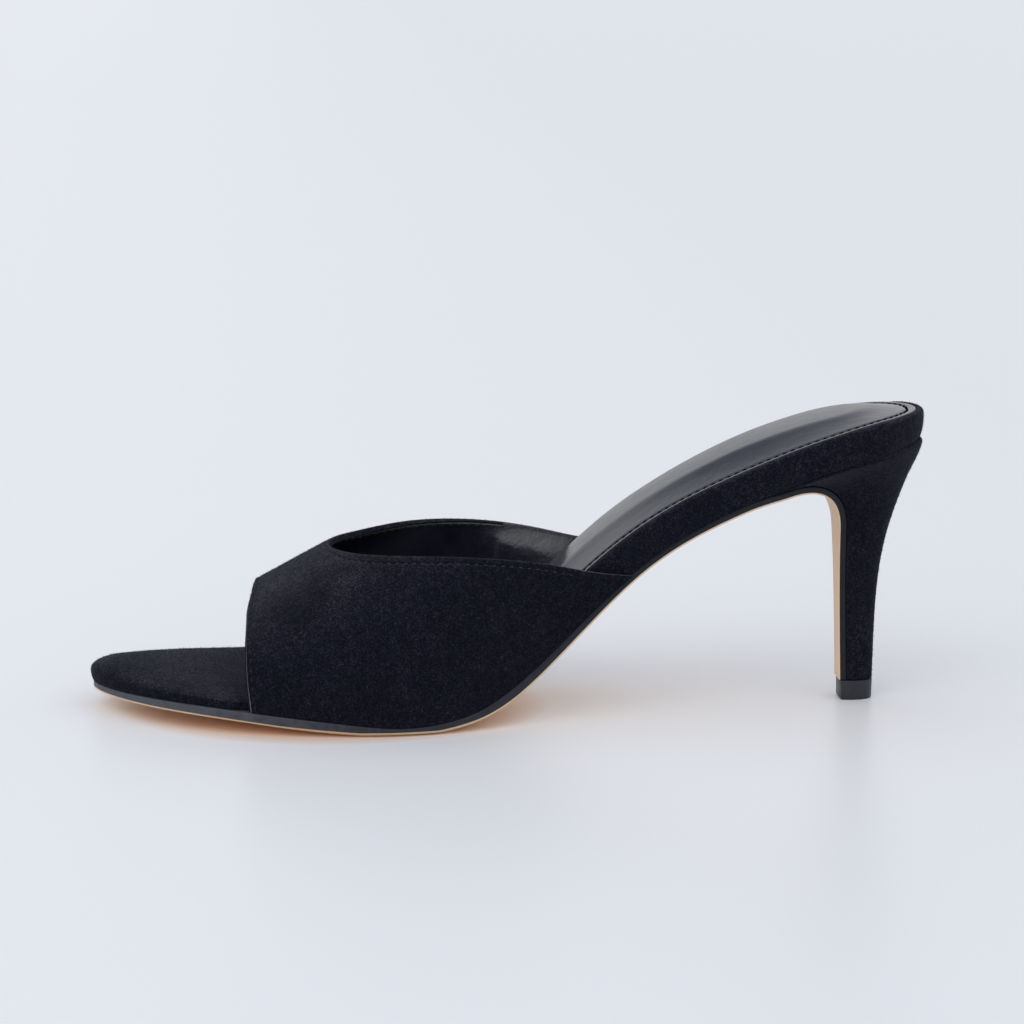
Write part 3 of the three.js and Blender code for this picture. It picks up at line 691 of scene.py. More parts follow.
def heel():
    height = float(sole_top(0)) - TOP_PIECE_H - GAP
    plain_up_to = 1 - HEEL_TOP_ROUND["down"][0] / height
    rings = [heel_ring(v) for v in np.linspace(0, 1, HEEL_RINGS) ** HEEL_CROWD if v < plain_up_to]
    for down, inset in zip(HEEL_TOP_ROUND["down"], HEEL_TOP_ROUND["inset"]):
        rings.append(drawn_in(heel_ring(1 - down / height), inset))
    points, faces = loft(rings)
    lip_points, lip_faces = loft(heel_lip())
    faces += [[n + len(points) for n in face] for face in lip_faces]
    points = np.concatenate([points, lip_points])
    return piece("heel_dressed", points, faces, [SUEDE], sharp=SHARP["heel"])


def top_piece():
    angle = np.pi * (np.arange(LIFT_ARC + 1) / LIFT_ARC - 0.5)
    cut = CORNER_CUT * LIFT_CORNER
    rings = []
    for z, inset in zip(LIFT_LAYERS["z"], LIFT_LAYERS["inset"]):
        back, front = TIP["back"] + inset, TOP_PIECE_FRONT - inset
        half = TIP["half"] - inset
        breast_half = FRONT_SHARE * half
        x = mix(back, front, LIFT_ROUND * (1 - np.cos(angle)))
        corner = [(front - LIFT_CORNER, breast_half), (front - cut, breast_half - cut)]
        corner.append((front, breast_half - LIFT_CORNER))
        ring = [(a, half * math.sin(b), z) for a, b in zip(x, angle)]
        ring += [(a, b, z) for a, b in corner]
        ring += [(a, -b, z) for a, b in reversed(corner)]
        rings.append(ring)
    points, faces = loft(rings)
    return piece("top_piece_dressed", points, faces, [LIFT], sharp=SHARP["top_piece"])


# Footbed and sock.
NOSE = {"middle": 2.8, "above": 8.0, "below": 1.6}
DOME, DOME_RUN = (3.2, 2.0), (120.0, 180.0)
FOOT_CLEAR, FOOT_NARROW = 0.03, 6.0
# How the wrap turns in at the foot of the band: on the forefoot's sides, the heel's sides and its back.
FOOT_TUCK = table(
    "inset height heel_inset heel_height back_inset back_height",
    (0.45, 0.0, 1.35, 0.0, 1.35, 0.0),
    (0.25, 0.05, 0.7, 0.12, 0.9, 0.6),
    (0.12, 0.1, 0.36, 0.3, 0.58, 1.3),
    (0.05, 0.2, 0.14, 0.6, 0.3, 2.3),
    (0.01, 0.3, 0.03, 0.95, 0.12, 3.3),
    (0.0, 0.42, 0.0, 1.26, 0.0, 4.4),
)
HEEL_TUCK_RUN = (44.0, 62.0)
RIM_RISE, RIM_ROUND, RIM_EDGE, RIM_FADE = 1.35, 1.2, (1.98, 2.17), (120.0, 150.0)
INNER_RIM_DROP, INNER_RIM_RUN = 0.95, (3.0, 12.0)
SOCK_RIM, SOCK_INSET, SOCK_FRONT_X = 1.0, 2.2, 172.0
SEAM_IN, SEAM_DEPTH, SEAM_WIDTH = 2.2, 0.32, 0.55
SOCK_LIP, SOCK_LIP_RUN = 0.12, 0.5
SOCK_DOME = 2.2
CROWN_WIDTH, CROWN_SKEW = {"inner": 6.5, "outer": 17.0, "run": (-0.5, 0.5)}, 0.35
# How far the sock's padding puffs up inside its seam.
SOCK_CROWN = table(
    "x rise",
    (0, 0.0), (5, 0.15), (10, 0.6), (14, 0.95), (22, 1.4), (34, 1.9), (45, 2.15), (55, 1.95),
    (66, 1.55), (78, 1.3), (92, 1.4), (104, 1.3), (120, 0.9), (172, 0.8),
)
sock_crown = curve(SOCK_CROWN, "rise")
MARGIN_ROUND, MARGIN_START = 27.0, (4.0, 28.0)
# Mesh steps along and across, and how they crowd.
FOOTBED_STEP, FOOTBED_ACROSS, SOCK_STEP, SOCK_ACROSS = 1.1, 110, 1.2, 80
END_STEPS, RIM_CROWD = 34, 0.8


def nose(x, h):
    """Heights near the toe, which closes in a rounded end."""
    reach = np.where(h > NOSE["middle"], NOSE["above"], NOSE["below"])
    u = np.clip((x - TOE_X) / reach + 1, 0, 1)
    return mix(NOSE["middle"], h, np.sqrt(1 - u * u))


def footbed_top(x, place, dome=DOME[0], level_from=1.0):
    """Height of the footbed's top at x and a place across from -1 to 1; beyond level_from it is level."""
    back = np.clip((HEEL_ROUND - x) / HEEL_ROUND, 0, 1)
    out = np.minimum(np.hypot(back, place * np.sqrt(1 - back * back)), level_from)
    power = mix(dome, DOME[1], ramp(x, DOME_RUN))
    return mix(footbed_side(x), footbed_middle(x), (1 - out**power) ** (1 / power))


def rim_distance(x, place, inset=0.0):
    """How far inside the footbed's edge, or a line inside it, a place across lies."""
    half = (footbed_edge(x, 1, inset) - footbed_edge(x, -1, inset)) / 2
    back = np.clip((HEEL_ROUND - x) / (HEEL_ROUND - inset), 0, 1)
    out = np.maximum(np.hypot(back, place * np.sqrt(1 - back * back)), 1e-6)
    round_the_heel = np.hypot(np.maximum(HEEL_ROUND - x, 0), place * half) * (1 / out - 1)
    return np.where(x < HEEL_ROUND, round_the_heel, half * (1 - np.abs(place)))


def rim_bead(x, place):
    """Rise of the wrapped rim outside the sock: a round bead that fades out under the upper."""
    inside = rim_distance(x, place)
    bead = np.sqrt(1 - np.clip(1 - inside / RIM_ROUND, 0, 1) ** 2)
    rise = RIM_RISE - INNER_RIM_DROP * ramp(x, INNER_RIM_RUN) * (place < 0)
    return rise * bead * (1 - ramp(inside, RIM_EDGE)) * (1 - ramp(x, RIM_FADE))


def places(steps):
    """Places across from 1 to -1, gathered towards the rims."""
    c = np.cos(np.pi * np.arange(steps + 1) / steps)
    return np.sign(c) * np.abs(c) ** RIM_CROWD


def stations(start, end, step, heel_end, toe_end):
    """Places along the foot, crowded towards rounded ends."""
    crowd = np.linspace(0, 1, END_STEPS, endpoint=False) ** 2
    first = start + END_RUN if heel_end else start
    last = end - END_RUN if toe_end else end
    parts = [start + END_RUN * crowd] if heel_end else []
    parts.append(np.linspace(first, last, int((last - first) / step) + 1))
    if toe_end:
        parts.append((end - END_RUN * crowd)[::-1])
    return np.concatenate(parts)


def footbed():
    """Suede wrapped over the padded board: a bead round the sock, and a foot tucked under."""
    x = stations(END_CLEAR, TOE_X - END_CLEAR, FOOTBED_STEP, True, True)[:, None]
    q = places(FOOTBED_ACROSS)[None, :]
    outer, inner = footbed_edge(x, 1), footbed_edge(x, -1)
    line = over(x, mix(inner, outer, (q + 1) / 2), nose(x, footbed_top(x, q) + rim_bead(x, q)))
    back = np.clip((HEEL_ROUND - x) / HEEL_ROUND, 0, 1)
    at_heel = 1 - ramp(x, HEEL_TUCK_RUN)
    narrow = np.minimum(1, (outer - inner) / FOOT_NARROW)
    feet = []
    for side, rim, order in ((1, outer, 1), (-1, inner, -1)):
        share = np.where(x < HEEL_ROUND, np.abs(rim) / SEAT_HALF, narrow)
        tucks = (
            [FOOT_TUCK[where + what][None, ::order] for where in ("", "heel_", "back_")]
            for what in ("inset", "height")
        )
        inset, up = (mix(mix(a, b, at_heel), c, back**2) for a, b, c in tucks)
        up = FOOT_CLEAR + up + crease(x)
        feet.append(over(x + inset * back, rim - side * inset * share, nose(x, up)))
    points, faces = loft(np.concatenate([feet[0], line, feet[1]], axis=1))
    return piece("footbed_dressed", points, faces, [SUEDE])


def sock_line(x, place, lift, inset=SOCK_INSET, dome=DOME[0], level_from=1.0):
    """Points over the footbed inside the sock's rim, a lift above the footbed's top."""
    whole = footbed_edge(x, 1) - footbed_edge(x, -1)
    outer, inner = footbed_edge(x, 1, inset), footbed_edge(x, -1, inset)
    top = footbed_top(x, place * (outer - inner) / whole, dome, level_from)
    return over(x, mix(inner, outer, (place + 1) / 2), top + GAP + lift)


def seam_place(x):
    """How far out of the footbed's half width the sock's seam runs; the margin outside it lies level."""
    half = (footbed_edge(x, 1) - footbed_edge(x, -1)) / 2
    return 1 - (SOCK_INSET + SEAM_IN) / mix(MARGIN_ROUND, half, ramp(x, MARGIN_START))


def sock():
    x = stations(SOCK_INSET + END_CLEAR, SOCK_FRONT_X, SOCK_STEP, True, False)[:, None]
    q = places(SOCK_ACROSS)[None, :]
    inside = rim_distance(x, q, SOCK_INSET)
    seam = SEAM_DEPTH * np.exp(-(((inside - SEAM_IN) / SEAM_WIDTH) ** 2))
    lip = SOCK_LIP * np.clip(1 - inside / SOCK_LIP_RUN, 0, 1) ** 2
    width = mix(CROWN_WIDTH["inner"], CROWN_WIDTH["outer"], ramp(q, CROWN_WIDTH["run"]))
    crown = sock_crown(x) * ramp((inside - SEAM_IN) / width, (0, 1)) * (1 - CROWN_SKEW * q)
    top = sock_line(x, q, SOCK_RIM + crown - seam - lip, dome=SOCK_DOME, level_from=seam_place(x))
    under = sock_line(x, q, 0.0)
    rows, cols = top.shape[:2]
    far = rows * cols
    border = border_of(rows, cols)
    rim = strip(border, [far + n for n in border])
    points = np.concatenate([top.reshape(-1, 3), under.reshape(-1, 3)])
    faces = grid_faces(rows, cols) + grid_faces(rows, cols, far) + rim
    of_face = [0] * (2 * (rows - 1) * (cols - 1)) + [1] * len(rim)
    return piece("sock_dressed", points, faces, [SOCK, SOCK_EDGE], of_face, sharp=SHARP["sock"])


# Upper: suede outside, lining inside, cut edges between them.
WALL, WING_WALL, WING_RUN, WING_CLEAR = 1.7, 1.1, (82.0, 115.0), 0.2
SECTION_POWER, SECTION_BULGE = 2.2, 2.8
FOOT_RUN, FRONT_SKEW, THROAT_RUN = (0.0, 0.35), 0.09, (0.4, 0.6)
UPPER_FOOT = 0.05
RIM_SUEDE = 0.55
FRONT_SEAM, TOP_SEAM = 1.7, 1.7
TURNED, BOARD_LINE, BOARD_LINE_X = 0.45, 0.8, 113.0
THROAT_DROP, THROAT_DROP_RUN = 0.18, (0.0, 0.6)
# Mesh steps round and along the upper, how they crowd to its feet, and how the topline is searched.
UPPER_ROUND, UPPER_ALONG, FOOT_CROWD = 170, 140, 0.09
HALVINGS, SEARCH_CLEAR = 50, 1.0
# The wall's share of its full thickness by the distance from its front edge and from its topline. A thin
# inner layer stands a little in front, the outer layer's cut edge follows, and a seam is pulled in behind.
FRONT_SECTION = table(
    "away share",
    (0, 0.42), (0.05, 0.5), (0.15, 0.56), (0.42, 0.6), (0.5, 0.68), (0.6, 0.86), (0.72, 0.96),
    (0.9, 1), (1.15, 1), (1.35, 0.99), (1.55, 0.92), (FRONT_SEAM, 0.85), (1.85, 0.92), (2.1, 1),
    (2.6, 1), (3.3, 1),
)
TOP_SECTION = table(
    "away share",
    (0, 0.72), (0.05, 0.82), (0.15, 0.9), (0.3, 0.96), (TURNED, 1), (BOARD_LINE, 1), (1.1, 1),
    (1.35, 0.99), (1.55, 0.94), (TOP_SEAM, 0.86), (1.85, 0.94), (2.05, 1), (2.4, 1), (3.0, 1),
)
CUT_EDGE = (0.42, 0.72)
# The lining hangs loose inside the inner wing, and puffs in below the topline.
PUFF = {"rise": 2.2, "x": 103.0, "length": 13.0, "below": 10.5, "height": 8.0}
# Its soft folds: place, turn from the length of the foot, size and depth.
FOLDS = table(
    "x z turn width length depth",
    (114.5, 38.5, 80, 1.6, 5.0, -0.2),
    (112.0, 38.0, 72, 1.4, 4.0, 0.12),
    (109.6, 39.8, 25, 1.0, 3.5, 0.08),
    (107.4, 36.5, 60, 1.0, 3.0, -0.07),
    (104.6, 35.6, 68, 1.0, 2.6, -0.05),
    (102.0, 37.8, 30, 1.0, 2.6, 0.05),
)


def lining_at(x, angle):
    """The upper's lining: angle 0 at the outer sole edge, half a turn at the inner one."""
    x, angle = np.broadcast_arrays(np.asarray(x, float), angle)
    outer = angle <= np.pi / 2
    side = np.where(outer, 1, -1)
    clear = GAP + WING_CLEAR * (1 - ramp(x, WING_RUN))
    foot = np.where(outer, footbed_edge(x, 1), footbed_edge(x, -1)) + side * clear
    c = np.abs(np.cos(angle)) ** (2 / SECTION_POWER)
    s = np.clip(np.sin(angle), 0, 1) ** (2 / SECTION_POWER)
    swell = side * SECTION_BULGE * np.abs(np.sin(2 * angle))
    y = ridge_y(x) + (foot - ridge_y(x) + swell) * c
    return np.stack([x, y, mix(sole_top(x) + UPPER_FOOT, ridge_z(x), s)], -1)


def outward_at(x, angle):
    """Direction out of the upper's wall, level at its feet."""
    a = np.clip(angle, 2 * SLOPE_STEP, np.pi - 2 * SLOPE_STEP)
    along = lining_at(x + SLOPE_STEP, a) - lining_at(x - SLOPE_STEP, a)
    around = lining_at(x, a + SLOPE_STEP) - lining_at(x, a - SLOPE_STEP)
    rise = ramp(np.sin(angle), FOOT_RUN)
    return unit(np.cross(around, along) * np.stack([rise, np.ones_like(rise), rise], -1))


def wall_at(x):
    return mix(WING_WALL, WALL, ramp(x, WING_RUN))


def front_at(angle):
    """Where the lines round the upper meet its front edge."""
    share = np.clip(np.sin(angle), 0, 1) ** (2 / SECTION_POWER)
    plane = FRONT_FOOT[1]
    width = lining_at(plane, np.minimum(angle, np.pi - angle))[..., 1] - lining_at(plane, angle)[..., 1]
    return front_edge(share) - FRONT_SKEW * width


def back_at(angle, away=0.0):
    """Where the lines round the upper meet its topline, or a line below it that runs closer at the throat."""
    inward = ramp(angle / np.pi, THROAT_RUN)
    drop = away * mix(THROAT_DROP, 1, ramp(np.abs(np.cos(angle)), THROAT_DROP_RUN))
    angle, inward, drop = np.broadcast_arrays(angle, inward, drop)
    low_x = np.full(angle.shape, RIDGE["x"][0])
    high_x = front_at(angle) - SEARCH_CLEAR
    for _ in range(HALVINGS):
        middle = (low_x + high_x) / 2
        line = mix(outer_topline(middle), inner_topline(middle), inward) - drop
        above = lining_at(middle, angle)[..., 2] > line
        low_x = np.where(above, middle, low_x)
        high_x = np.where(above, high_x, middle)
    return high_x


def round_angles(count):
    """Angles round the upper, gathered towards its feet."""
    t = np.linspace(0, 1, count)
    return np.clip(np.pi * (t - FOOT_CROWD * np.sin(2 * np.pi * t)), 0, np.pi)


def folded(points):
    """How far the lining's folds lift it off the wall."""
    below = inner_topline(points[..., 0]) - points[..., 2]
    along = (points[..., 0] - PUFF["x"]) / PUFF["length"]
    lift = PUFF["rise"] * np.exp(-(along**4) - ((below - PUFF["below"]) / PUFF["height"]) ** 4)
    for x, z, turn, width, length, depth in zip(*FOLDS.values()):
        along_x, along_z = math.cos(math.radians(turn)), math.sin(math.radians(turn))
        dx, dz = points[..., 0] - x, points[..., 2] - z
        along = dx * along_x + dz * along_z
        across = dz * along_x - dx * along_z
        lift += depth * np.exp(-((across / width) ** 2) - (along / length) ** 2)
    return np.where(points[..., 1] < 0, lift, 0)


def upper():
    angle = round_angles(UPPER_ROUND)[:, None]
    front_away, top_away = FRONT_SECTION["away"][None, :], TOP_SECTION["away"][None, ::-1]
    front_x = front_at(angle) - front_away
    top_x = back_at(angle, top_away)
    middle = np.linspace(0, 1, UPPER_ALONG)[1:-1]
    x = np.concatenate([front_x, mix(front_x[:, -1:], top_x[:, :1], middle), top_x], axis=1)
    share = np.concatenate([FRONT_SECTION["share"], np.ones_like(middle), TOP_SECTION["share"][::-1]])
    inside = lining_at(x, angle)
    out = outward_at(x, angle)
    face = inside + out * (wall_at(x) * share)[..., None]
    inside = inside - out * folded(inside)[..., None]
    rows, cols = x.shape
    far = rows * cols
    border = border_of(rows, cols)
    face, inside = face.reshape(-1, 3), inside.reshape(-1, 3)
    between = mix(face[border], inside[border], RIM_SUEDE)
    ring = list(range(2 * far, 2 * far + len(border)))
    rim = strip(border, ring) + strip(ring, [far + n for n in border])
    faces = grid_faces(rows, cols) + grid_faces(rows, cols, far) + rim
    away = FRONT_SECTION["away"]
    cut = np.flatnonzero((away[:-1] >= CUT_EDGE[0]) & (away[1:] <= CUT_EDGE[1]))
    suede_of, lining_of, raw_of, cut_of, painted_sheen_of = range(5)
    outside_of = np.full((rows - 1, cols - 1), suede_of)
    outside_of[:, cut] = cut_of
    inside_of = np.full((rows - 1, cols - 1), lining_of)
    turned = np.count_nonzero(TOP_SECTION["away"] < TURNED)
    # On the wings the turned strip, its cut edge and the far topline get the painted sheen; towards the
    # throat they stay suede and raw edge.
    on_wing = top_x[:-1, -1] < BOARD_LINE_X
    turned_of = np.where(on_wing, painted_sheen_of, suede_of)
    inside_of[:, -turned:] = turned_of[:, None]
    inside_of[:, -turned - 1] = np.where(on_wing, painted_sheen_of, raw_of)
    rim_of = np.full((2, len(ring)), suede_of)
    rim_of[1] = raw_of
    topline = slice(cols - 1, cols + rows - 2)
    rim_of[:, topline] = np.where(angle[:-1, 0] > np.pi / 2, turned_of, rim_of[:, topline])
    of_face = np.concatenate([outside_of.ravel(), inside_of.ravel(), rim_of.ravel()])
    points = np.concatenate([face, inside, between])
    materials = [SUEDE, LINING, RAW_EDGE, FRONT_CUT, PAINTED_SHEEN_EDGE]
    return piece("upper_dressed", points, faces, materials, of_face, sharp=SHARP["upper"])


# Stitches: short rounded threads laid along a line, half sunk at their ends.
STITCH_RAISE = 0.12
LINING_SEAM, TOP_SEAM_END = 1.15, 97.0
STITCH_SIDES, STITCH_SPANS = 8, 6
# A stitch's thickness at its ends, and how it rises in the middle and sinks at the ends, over its radius.
STITCH_END, STITCH_BOW, STITCH_SINK = 0.45, 1.1, 0.75
SEAM_STEPS, SOCK_SEAM_STEP, SOCK_SEAM_CLEAR = 500, 0.6, 2
# How far out in the wall the seams lie, and where the seam under the topline ends on the wings.
TOP_SEAM_OUT, FRONT_SEAM_OUT, WING_SEAM_END = 0.9, 0.89, 83.5
SEAMS = {
    "topline_stitches": {"pitch": 2.35, "length": 1.15, "radius": 0.17},
    "lining_stitches": {"pitch": 2.35, "length": 1.7, "radius": 0.22},
    "front_stitches": {"pitch": 2.6, "length": 1.8, "radius": 0.2},
    "sock_stitches": {"pitch": 2.3, "length": 1.8, "radius": 0.28},
}


def stitch_run(name, path, up, material):
    """One joined mesh of a seam's stitches along a path on the surface whose outward directions are given."""
    pitch, length, radius = (SEAMS[name][size] for size in ("pitch", "length", "radius"))
    steps = np.linalg.norm(np.diff(path, axis=0), axis=1)
    far = np.concatenate([[0], np.cumsum(steps)])
    arch = np.cos(np.linspace(-1, 1, STITCH_SPANS + 1) * np.pi / 2)
    turn = 2 * np.pi * np.arange(STITCH_SIDES) / STITCH_SIDES
    thick = radius * mix(STITCH_END, 1, arch**0.5)
    points, faces = [], []
    for k in range(int(far[-1] / pitch)):
        where = (k + 0.5) * pitch + length * np.linspace(-0.5, 0.5, STITCH_SPANS + 1)
        centre = np.stack([np.interp(where, far, path[:, a]) for a in range(3)], -1)
        out = unit(np.stack([np.interp(where, far, up[:, a]) for a in range(3)], -1))
        across = np.cross(out, unit(np.gradient(centre, axis=0)))
        centre = centre + out * (radius * (STITCH_BOW * arch - STITCH_SINK))[:, None]
        spoke = np.cos(turn)[None, :, None] * across[:, None] + np.sin(turn)[None, :, None] * out[:, None]
        start = len(points)
        points.extend((centre[:, None] + thick[:, None, None] * spoke).reshape(-1, 3))
        faces += grid_faces(STITCH_SPANS + 1, STITCH_SIDES, start, around=True)
        last = start + STITCH_SPANS * STITCH_SIDES
        faces += [list(range(start, start + STITCH_SIDES)), list(range(last, last + STITCH_SIDES))]
    return piece(name, points, faces, [material])


def topline_stitches():
    """The seam below the topline: pale threads outside, dark ones on the lining."""
    angle = round_angles(SEAM_STEPS)
    x = back_at(angle, TOP_SEAM)
    keep = x > WING_SEAM_END
    x, angle = x[keep], angle[keep]
    out = outward_at(x, angle)
    outside = lining_at(x, angle) + out * (TOP_SEAM_OUT * wall_at(x))[:, None]
    lining = lining_at(back_at(angle, LINING_SEAM), angle)
    shown = x > TOP_SEAM_END
    return (
        stitch_run("topline_stitches", outside[shown], out[shown], PALE_THREAD),
        stitch_run("lining_stitches", lining, -out, THREAD),
    )


def front_stitches():
    angle = round_angles(SEAM_STEPS)
    x = front_at(angle) - FRONT_SEAM
    out = outward_at(x, angle)
    path = lining_at(x, angle) + out * (FRONT_SEAM_OUT * wall_at(x))[:, None]
    return stitch_run("front_stitches", path, out, THREAD)


def sock_stitches():
    """One seam round the sock, just inside its rim."""
    inset = SOCK_INSET + SEAM_IN
    x = stations(inset + END_CLEAR, SOCK_FRONT_X - SOCK_SEAM_CLEAR, SOCK_SEAM_STEP, True, False)
    lift = SOCK_RIM - SEAM_DEPTH + STITCH_RAISE
    outer, inner = (
        sock_line(x, side * np.ones_like(x), lift, inset, SOCK_DOME, seam_place(x)) for side in (1, -1)
    )
    path = np.concatenate([outer[::-1], inner])
    slope = np.concatenate([sole_slope(x)[::-1], sole_slope(x)])
    up = unit(np.stack([-slope, np.zeros_like(slope), np.ones_like(slope)], -1))
    return stitch_run("sock_stitches", path, up, DULL_THREAD)


# Nap: short loose fibres over the suede, each a thin blade with a bake cell of its own.
NAP = {"density": 6.0, "width": 0.08, "length": (0.25, 0.65), "upright": 0.4, "brushed": (-0.5, 0.0, -0.6)}
LYING, STANDING, SPIN = (0.12, 0.5), (0.6, 1.3), (-0.7, 0.7)
SUEDE_INDEX, UPPER_BACK_X, UNDERSIDE = 0, 96, -0.6
NAP_SEEDS = {"upper": 11, "footbed": 12, "heel": 13}
BAKE_MAP = "OFBake"
CELL_CORNERS = ((0.1, 0.1), (0.9, 0.1), (0.5, 0.9))


def read(items, name, width, kind=float):
    """A mesh's values as rows of a width."""
    values = np.empty(width * len(items), kind)
    items.foreach_get(name, values)
    return values.reshape(-1, width)


def nap(name, shown, seed, bare=None):
    """Fibres on a piece's suede faces, apart from those whose middle bare() takes out."""
    mesh = shown.data
    mesh.calc_loop_triangles()
    corner = read(mesh.loop_triangles, "vertices", 3, np.int32)
    kind = read(mesh.loop_triangles, "material_index", 1, np.int32)[:, 0]
    place = from_frame(read(mesh.vertices, "co", 3))
    normal = read(mesh.vertices, "normal", 3)
    a, b, c = (place[corner[:, k]] for k in range(3))
    area = np.linalg.norm(np.cross(b - a, c - a), axis=1) / 2 * (kind == SUEDE_INDEX)
    if bare is not None:
        area[bare((a + b + c) / 3, normal[corner].mean(axis=1))] = 0
    rng = np.random.default_rng(seed)
    total = int(area.sum() * NAP["density"])
    pick = rng.choice(len(corner), total, p=area / area.sum())
    u, v = np.sqrt(rng.random(total)), rng.random(total)
    weight = np.stack([1 - u, u * (1 - v), u * v], -1)[..., None]
    root = (place[corner[pick]] * weight).sum(axis=1)
    out = unit((normal[corner[pick]] * weight).sum(axis=1))
    lie = rng.normal(size=(total, 3)) + NAP["brushed"]
    lie = unit(lie - out * (lie * out).sum(axis=1, keepdims=True))
    stands = rng.random((total, 1)) < NAP["upright"]
    tilt = np.where(stands, rng.uniform(*STANDING, (total, 1)), rng.uniform(*LYING, (total, 1)))
    reach = rng.uniform(*NAP["length"], (total, 1)) * (lie * np.cos(tilt) + out * np.sin(tilt))
    spin = rng.uniform(*SPIN, (total, 1))
    side = NAP["width"] / 2 * (np.cross(out, lie) * np.cos(spin) + out * np.sin(spin))
    points = np.stack([root - side, root + side, root + reach], axis=1).reshape(-1, 3)
    faces = np.arange(3 * total).reshape(-1, 3).tolist()
    fibres = piece(name, points, faces, [FUZZ], weld=False)
    across = math.ceil(math.sqrt(total))
    cell = np.stack(np.divmod(np.arange(total), across), -1)[:, None, :]
    cells = (cell + np.array(CELL_CORNERS)) / across
    fibres.data.uv_layers.new(name=BAKE_MAP).data.foreach_set("uv", cells.ravel())
    return fibres


def footbed_covered(middle, normal):
    """Places of the footbed under the sock, under the upper or on its underside."""
    x, y = middle[:, 0], middle[:, 1]
    outer, inner = footbed_edge(x, 1), footbed_edge(x, -1)
    under_sock = (x < SOCK_FRONT_X) & (np.minimum(outer - y, y - inner) > SOCK_INSET) & (x > SOCK_INSET)
    under_upper = (x > UPPER_BACK_X) & (x < FRONT_FOOT[-1])
    return under_sock | under_upper | (normal[:, 2] < UNDERSIDE)


# Studio: pale floor, soft light and the camera of the photograph.
CAMERA_TURN, CAMERA_RISE, CAMERA_ROLL = math.radians(5.3), math.radians(11.0), math.radians(0.5)
CAMERA_AWAY, CAMERA_FOCUS = 900.0, 3330.0
CAMERA_AIM = (111.6, 0.0, 52.7)
IMAGE_SIDE, SENSOR = 1024, 36.0
FLOOR_REACH = 20.0
# Painted bounce light: a warm tone painted on the floor where the tan tread throws its warm light; middle and
# half sizes in metres, and the soft edge.
PAINTED_BOUNCE_FLOOR = {"x": (0.046, 0.060), "y": (0.0, 0.044), "edge": (1.2, 0.5), "colour": (0.80, 0.62, 0.50)}
PAINTED_BOUNCE_SHARE = 0.7
# The floor's tones towards the heel and the toe, and the run in metres between them; the lighter toe side is
# painted light.
FLOOR = {"heel": (0.79, 0.80, 0.83), "toe": (0.865, 0.872, 0.90), "run": (-0.25, 0.25), "middle": 0.5}
# The room, and its dimmer stretch by height and by depth behind the shoe.
ROOM = {"light": 0.93, "colour": (0.94, 0.96, 1.0)}
DIM = {
    "light": 0.5,
    "colour": (0.80, 0.86, 1.0),
    "from": (0.34, 0.64),
    "to": (0.85, 0.65),
    "behind": (0.05, -0.3),
}
KEY = {"towards": (0.45, 0.62, 0.64), "spread": 50, "strength": 0.55}


def camera():
    level = math.cos(CAMERA_RISE)
    back = Vector((math.sin(CAMERA_TURN) * level, math.cos(CAMERA_TURN) * level, math.sin(CAMERA_RISE)))
    right = Vector((0, 0, 1)).cross(back).normalized()
    up = back.cross(right)
    c, s = math.cos(CAMERA_ROLL), math.sin(CAMERA_ROLL)
    right, up = right * c + up * s, up * c - right * s
    data = bpy.data.cameras.new("camera")
    data.sensor_width = SENSOR
    data.lens = CAMERA_FOCUS * SENSOR / IMAGE_SIDE
    view = placed("camera", data)
    eye = Vector(to_frame(CAMERA_AIM)) + back * CAMERA_AWAY / 1000
    turn = Matrix((right, up, back)).transposed().to_4x4()
    view.matrix_world = Matrix.Translation(eye) @ turn
    bpy.context.scene.camera = view


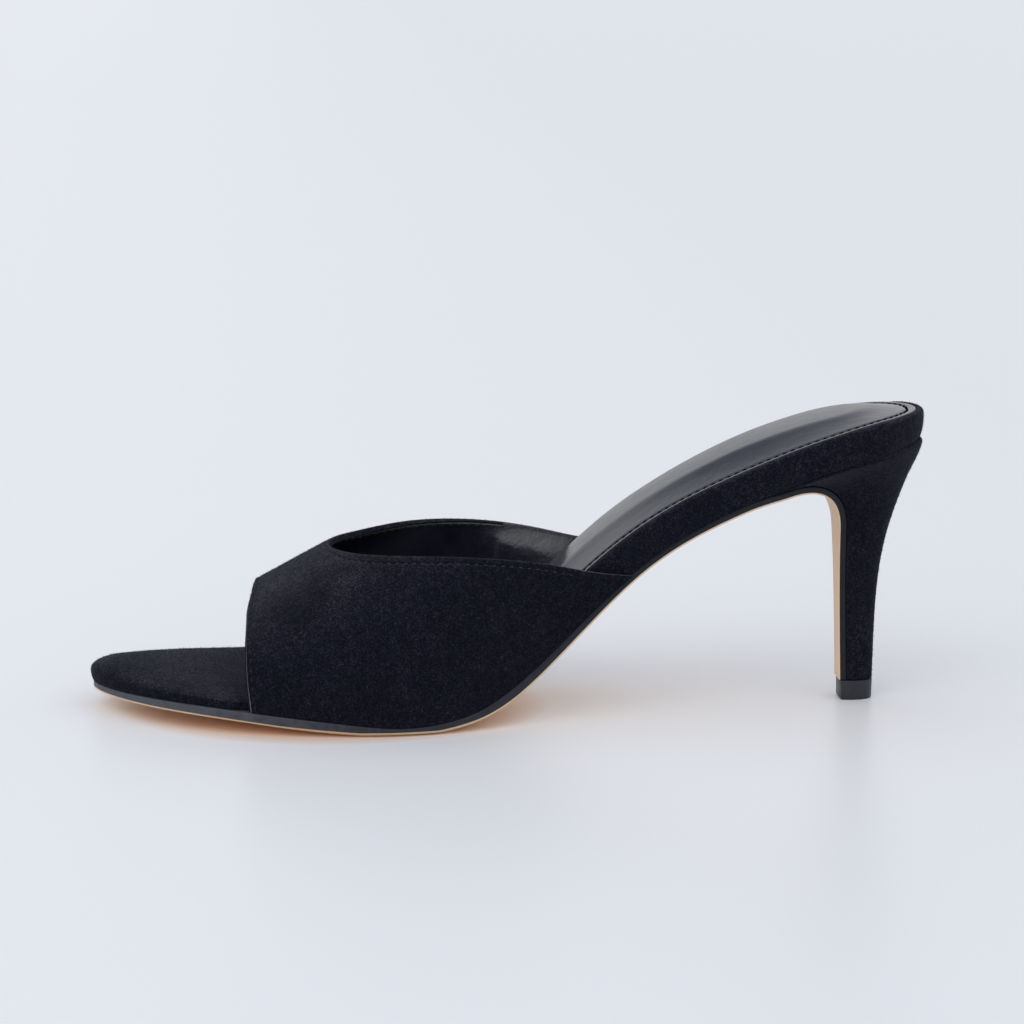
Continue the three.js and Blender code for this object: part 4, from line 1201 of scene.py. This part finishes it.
def floor():
    """A pale, faintly glossy floor with painted light: a little lighter on the toe side, and a painted warm
    bounce under the forefoot.
    """
    look = look_of("floor", Roughness=0.36, Specular_IOR_Level=0.2)
    # Painted light: the floor turns lighter towards the toe.
    along = look.spread(look.axis("X"), *FLOOR["run"], 0.0, FLOOR["middle"])
    ways = []
    # Painted bounce light: a warm patch painted under the forefoot.
    for name in ("X", "Y"):
        middle, half = PAINTED_BOUNCE_FLOOR[name.lower()]
        way = look.spread(look.axis(name), middle - 2 * half, middle + 2 * half, -2, 2)
        ways.append(look.times(way, way))
    painted_bounce = look.spread(look.add(*ways), *PAINTED_BOUNCE_FLOOR["edge"], smooth=True)
    stops = (0.0, *FLOOR["heel"]), (FLOOR["middle"], *FLOOR["toe"]), (1.0, *PAINTED_BOUNCE_FLOOR["colour"])
    colour = look.tone(look.add(along, painted_bounce, PAINTED_BOUNCE_SHARE), *stops)
    mesh = bpy.data.meshes.new("floor")
    corners = [(-1, -1), (1, -1), (1, 1), (-1, 1)]
    mesh.from_pydata([(FLOOR_REACH * x, FLOOR_REACH * y, 0) for x, y in corners], [], [(0, 1, 2, 3)])
    mesh.materials.append(look.finish(Base_Color=colour))
    ground = placed("floor", mesh)


def soft_sun(name, towards, spread, strength, colour=(1, 1, 1)):
    """A very wide distant light that shines from a direction."""
    data = bpy.data.lights.new(name, "SUN")
    data.angle = math.radians(spread)
    data.energy = strength
    data.color = colour
    lamp = placed(name, data)
    lamp.rotation_euler = Vector(towards).to_track_quat("Z", "Y").to_euler()


def studio():
    """A light room with a dimmer stretch of wall above a pale backdrop, and one wide key light."""
    sky = Nodes(bpy.data.worlds.new("studio"), "Background", "Generated")
    low, high = (sky.spread(sky.axis("Z"), *DIM[run], smooth=True) for run in ("from", "to"))
    behind = sky.spread(sky.axis("Y"), *DIM["behind"], smooth=True)
    dim = sky.times(sky.times(low, high), behind)
    colour = sky.tone(dim, (0.0, *ROOM["colour"]), (1.0, *DIM["colour"]))
    light = sky.spread(dim, 0, 1, ROOM["light"], DIM["light"])
    bpy.context.scene.world = sky.finish(Color=colour, Strength=light)
    bpy.context.scene.view_settings.view_transform = "Standard"
    soft_sun("key", **KEY)


DRESSED = {
    "outsole": (outsole(), "outsole"),
    "footbed": (footbed(), "suede"),
    "sock": (sock(), "sock"),
    "upper": (upper(), "suede"),
    "heel": (heel(), "suede"),
    "top_piece": (top_piece(), "top_piece"),
}
for node, (shown, slot) in DRESSED.items():
    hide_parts(node)
TRIM = [(stitches, "suede") for stitches in (*topline_stitches(), front_stitches())]
TRIM.append((sock_stitches(), "sock"))
for node, seed in NAP_SEEDS.items():
    bare = footbed_covered if node == "footbed" else None
    TRIM.append((nap(node + "_nap", DRESSED[node][0], seed, bare), "suede"))
for shown, slot in [*DRESSED.values(), *TRIM]:
    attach(shown, "root")

camera()
floor()
studio()
